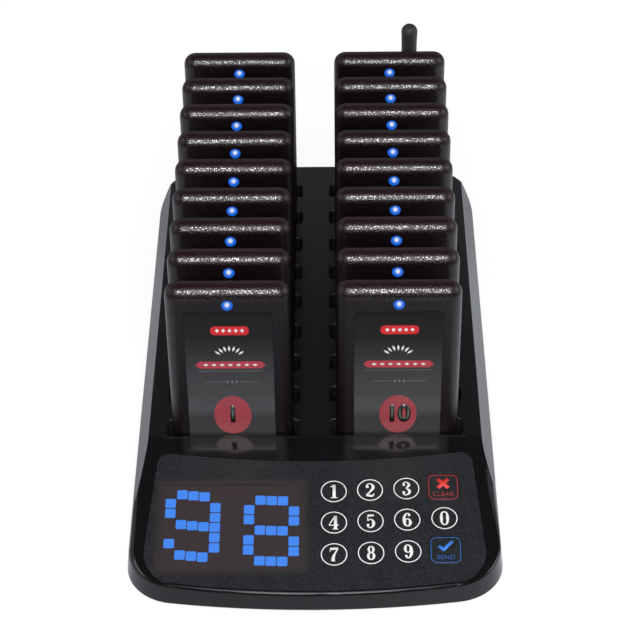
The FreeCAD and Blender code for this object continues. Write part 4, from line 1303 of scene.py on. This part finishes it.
def label_art():
    art = [flat(bar(19 * MM, 5.6 * MM, 2.2 * MM), *BADGE_AT, badge_red, 0)]
    art += diamonds(5, 3.1 * MM, (2.0 * MM, 2.6 * MM), BADGE_AT, label_white, 2)
    art += fan(7, math.radians(17), 5.6 * MM, 9.4 * MM, 1.3 * MM, FAN_AT)
    art.append(flat(pointed_band(35.4 * MM, 4.6 * MM), *BAND_AT, label_red, 0))
    art += diamonds(7, 4.1 * MM, (2.6 * MM, 1.7 * MM), BAND_AT, label_white, 2)
    art.append(flat(bar(33 * MM, 0.3 * MM), *RULE_AT, label_grey, 0))
    for side in (-1, 1):
        x = SHORT_RULE_AT[0] + side * SHORT_RULE_OUT
        art.append(flat(bar(9.5 * MM, 0.35 * MM), x, SHORT_RULE_AT[1], label_grey, 0))
    art += diamonds(3, 2.3 * MM, (1.6 * MM, 2.2 * MM), SHORT_RULE_AT, label_grey, 1)
    art.append(flat(oval(19 * MM, 25.6 * MM), *NUMBER_AT, disc_red, 0))
    made = joined(art)
    made.name = "label_art"
    return made


master_art = label_art()
print("label art:", len(master_art.data.polygons), "faces,", len(master_art.data.materials), "inks")

# %% [markdown]
# ## Numbers
# The number has a dark edge and a silvery middle that is brightest halfway up. It is written twice in the
# built-in letters: once grown by the width of the edge in dark ink, and once on top, thinned, in silver.

# %% Number inks and numbers
NUMBER_H = 11.2 * MM
NUMBER_SIZE = 1.34 * NUMBER_H
NUMBER_WIDE = 0.86
NUMBER_SPACING = 0.95
EDGE_GROWS = 0.68 * MM
SILVER_GROWS = -0.22 * MM
EDGE_LAYER = 3
SILVER_LAYER = 5


def silver_ink():
    material, place = begin("number_silver")
    z = parts(place)[2]
    away = abs(z - (FOOT_Z + NUMBER_AT[1])) * (1 / (NUMBER_H / 2))
    grain = noise(place, 0.5 * MM)
    colour = mix(step(away, 0.95, 0.1), tint(36, 41, 41), tint(104, 112, 110))
    finish(place, {"Base Color": colour, "Roughness": 0.28 + grain * 0.08})
    return material


number_silver = silver_ink()


def number_part(text, grow, layer, material):
    piece = lettering(text, NUMBER_SIZE, NUMBER_WIDE, grow, NUMBER_SPACING)
    return flat(piece, *NUMBER_AT, material, layer)


def number(text):
    edge = number_part(text, EDGE_GROWS, EDGE_LAYER, number_dark)
    middle = number_part(text, SILVER_GROWS, SILVER_LAYER, number_silver)
    return joined([edge, middle])


print("numbers", NUMBER_H / MM, "mm high")

# %% Labels on the pagers
LABEL_BEHIND = 0.10 * MM


def label_place(index):
    """From flat art on the ground to the upright label of one pager, counted from 0."""
    side = -1 if index < ROWS else 1
    y = FACE_Y + LABEL_BEHIND + (index % ROWS) * PITCH
    stand_up = Matrix.Rotation(math.pi / 2, 4, "X")
    return Matrix.Translation((side * COLUMN_X, y, FOOT_Z)) @ stand_up


for index in range(PAGERS):
    body = "pager_%02d" % (index + 1)
    art = copy_of(master_art, "label_art_%02d" % (index + 1))
    carry(art, label_place(index), body)
    digits = number(str(index + 1))
    digits.name = "label_number_%02d" % (index + 1)
    carry(digits, label_place(index), body)
bpy.data.objects.remove(master_art)
print("labels on", PAGERS, "pagers")
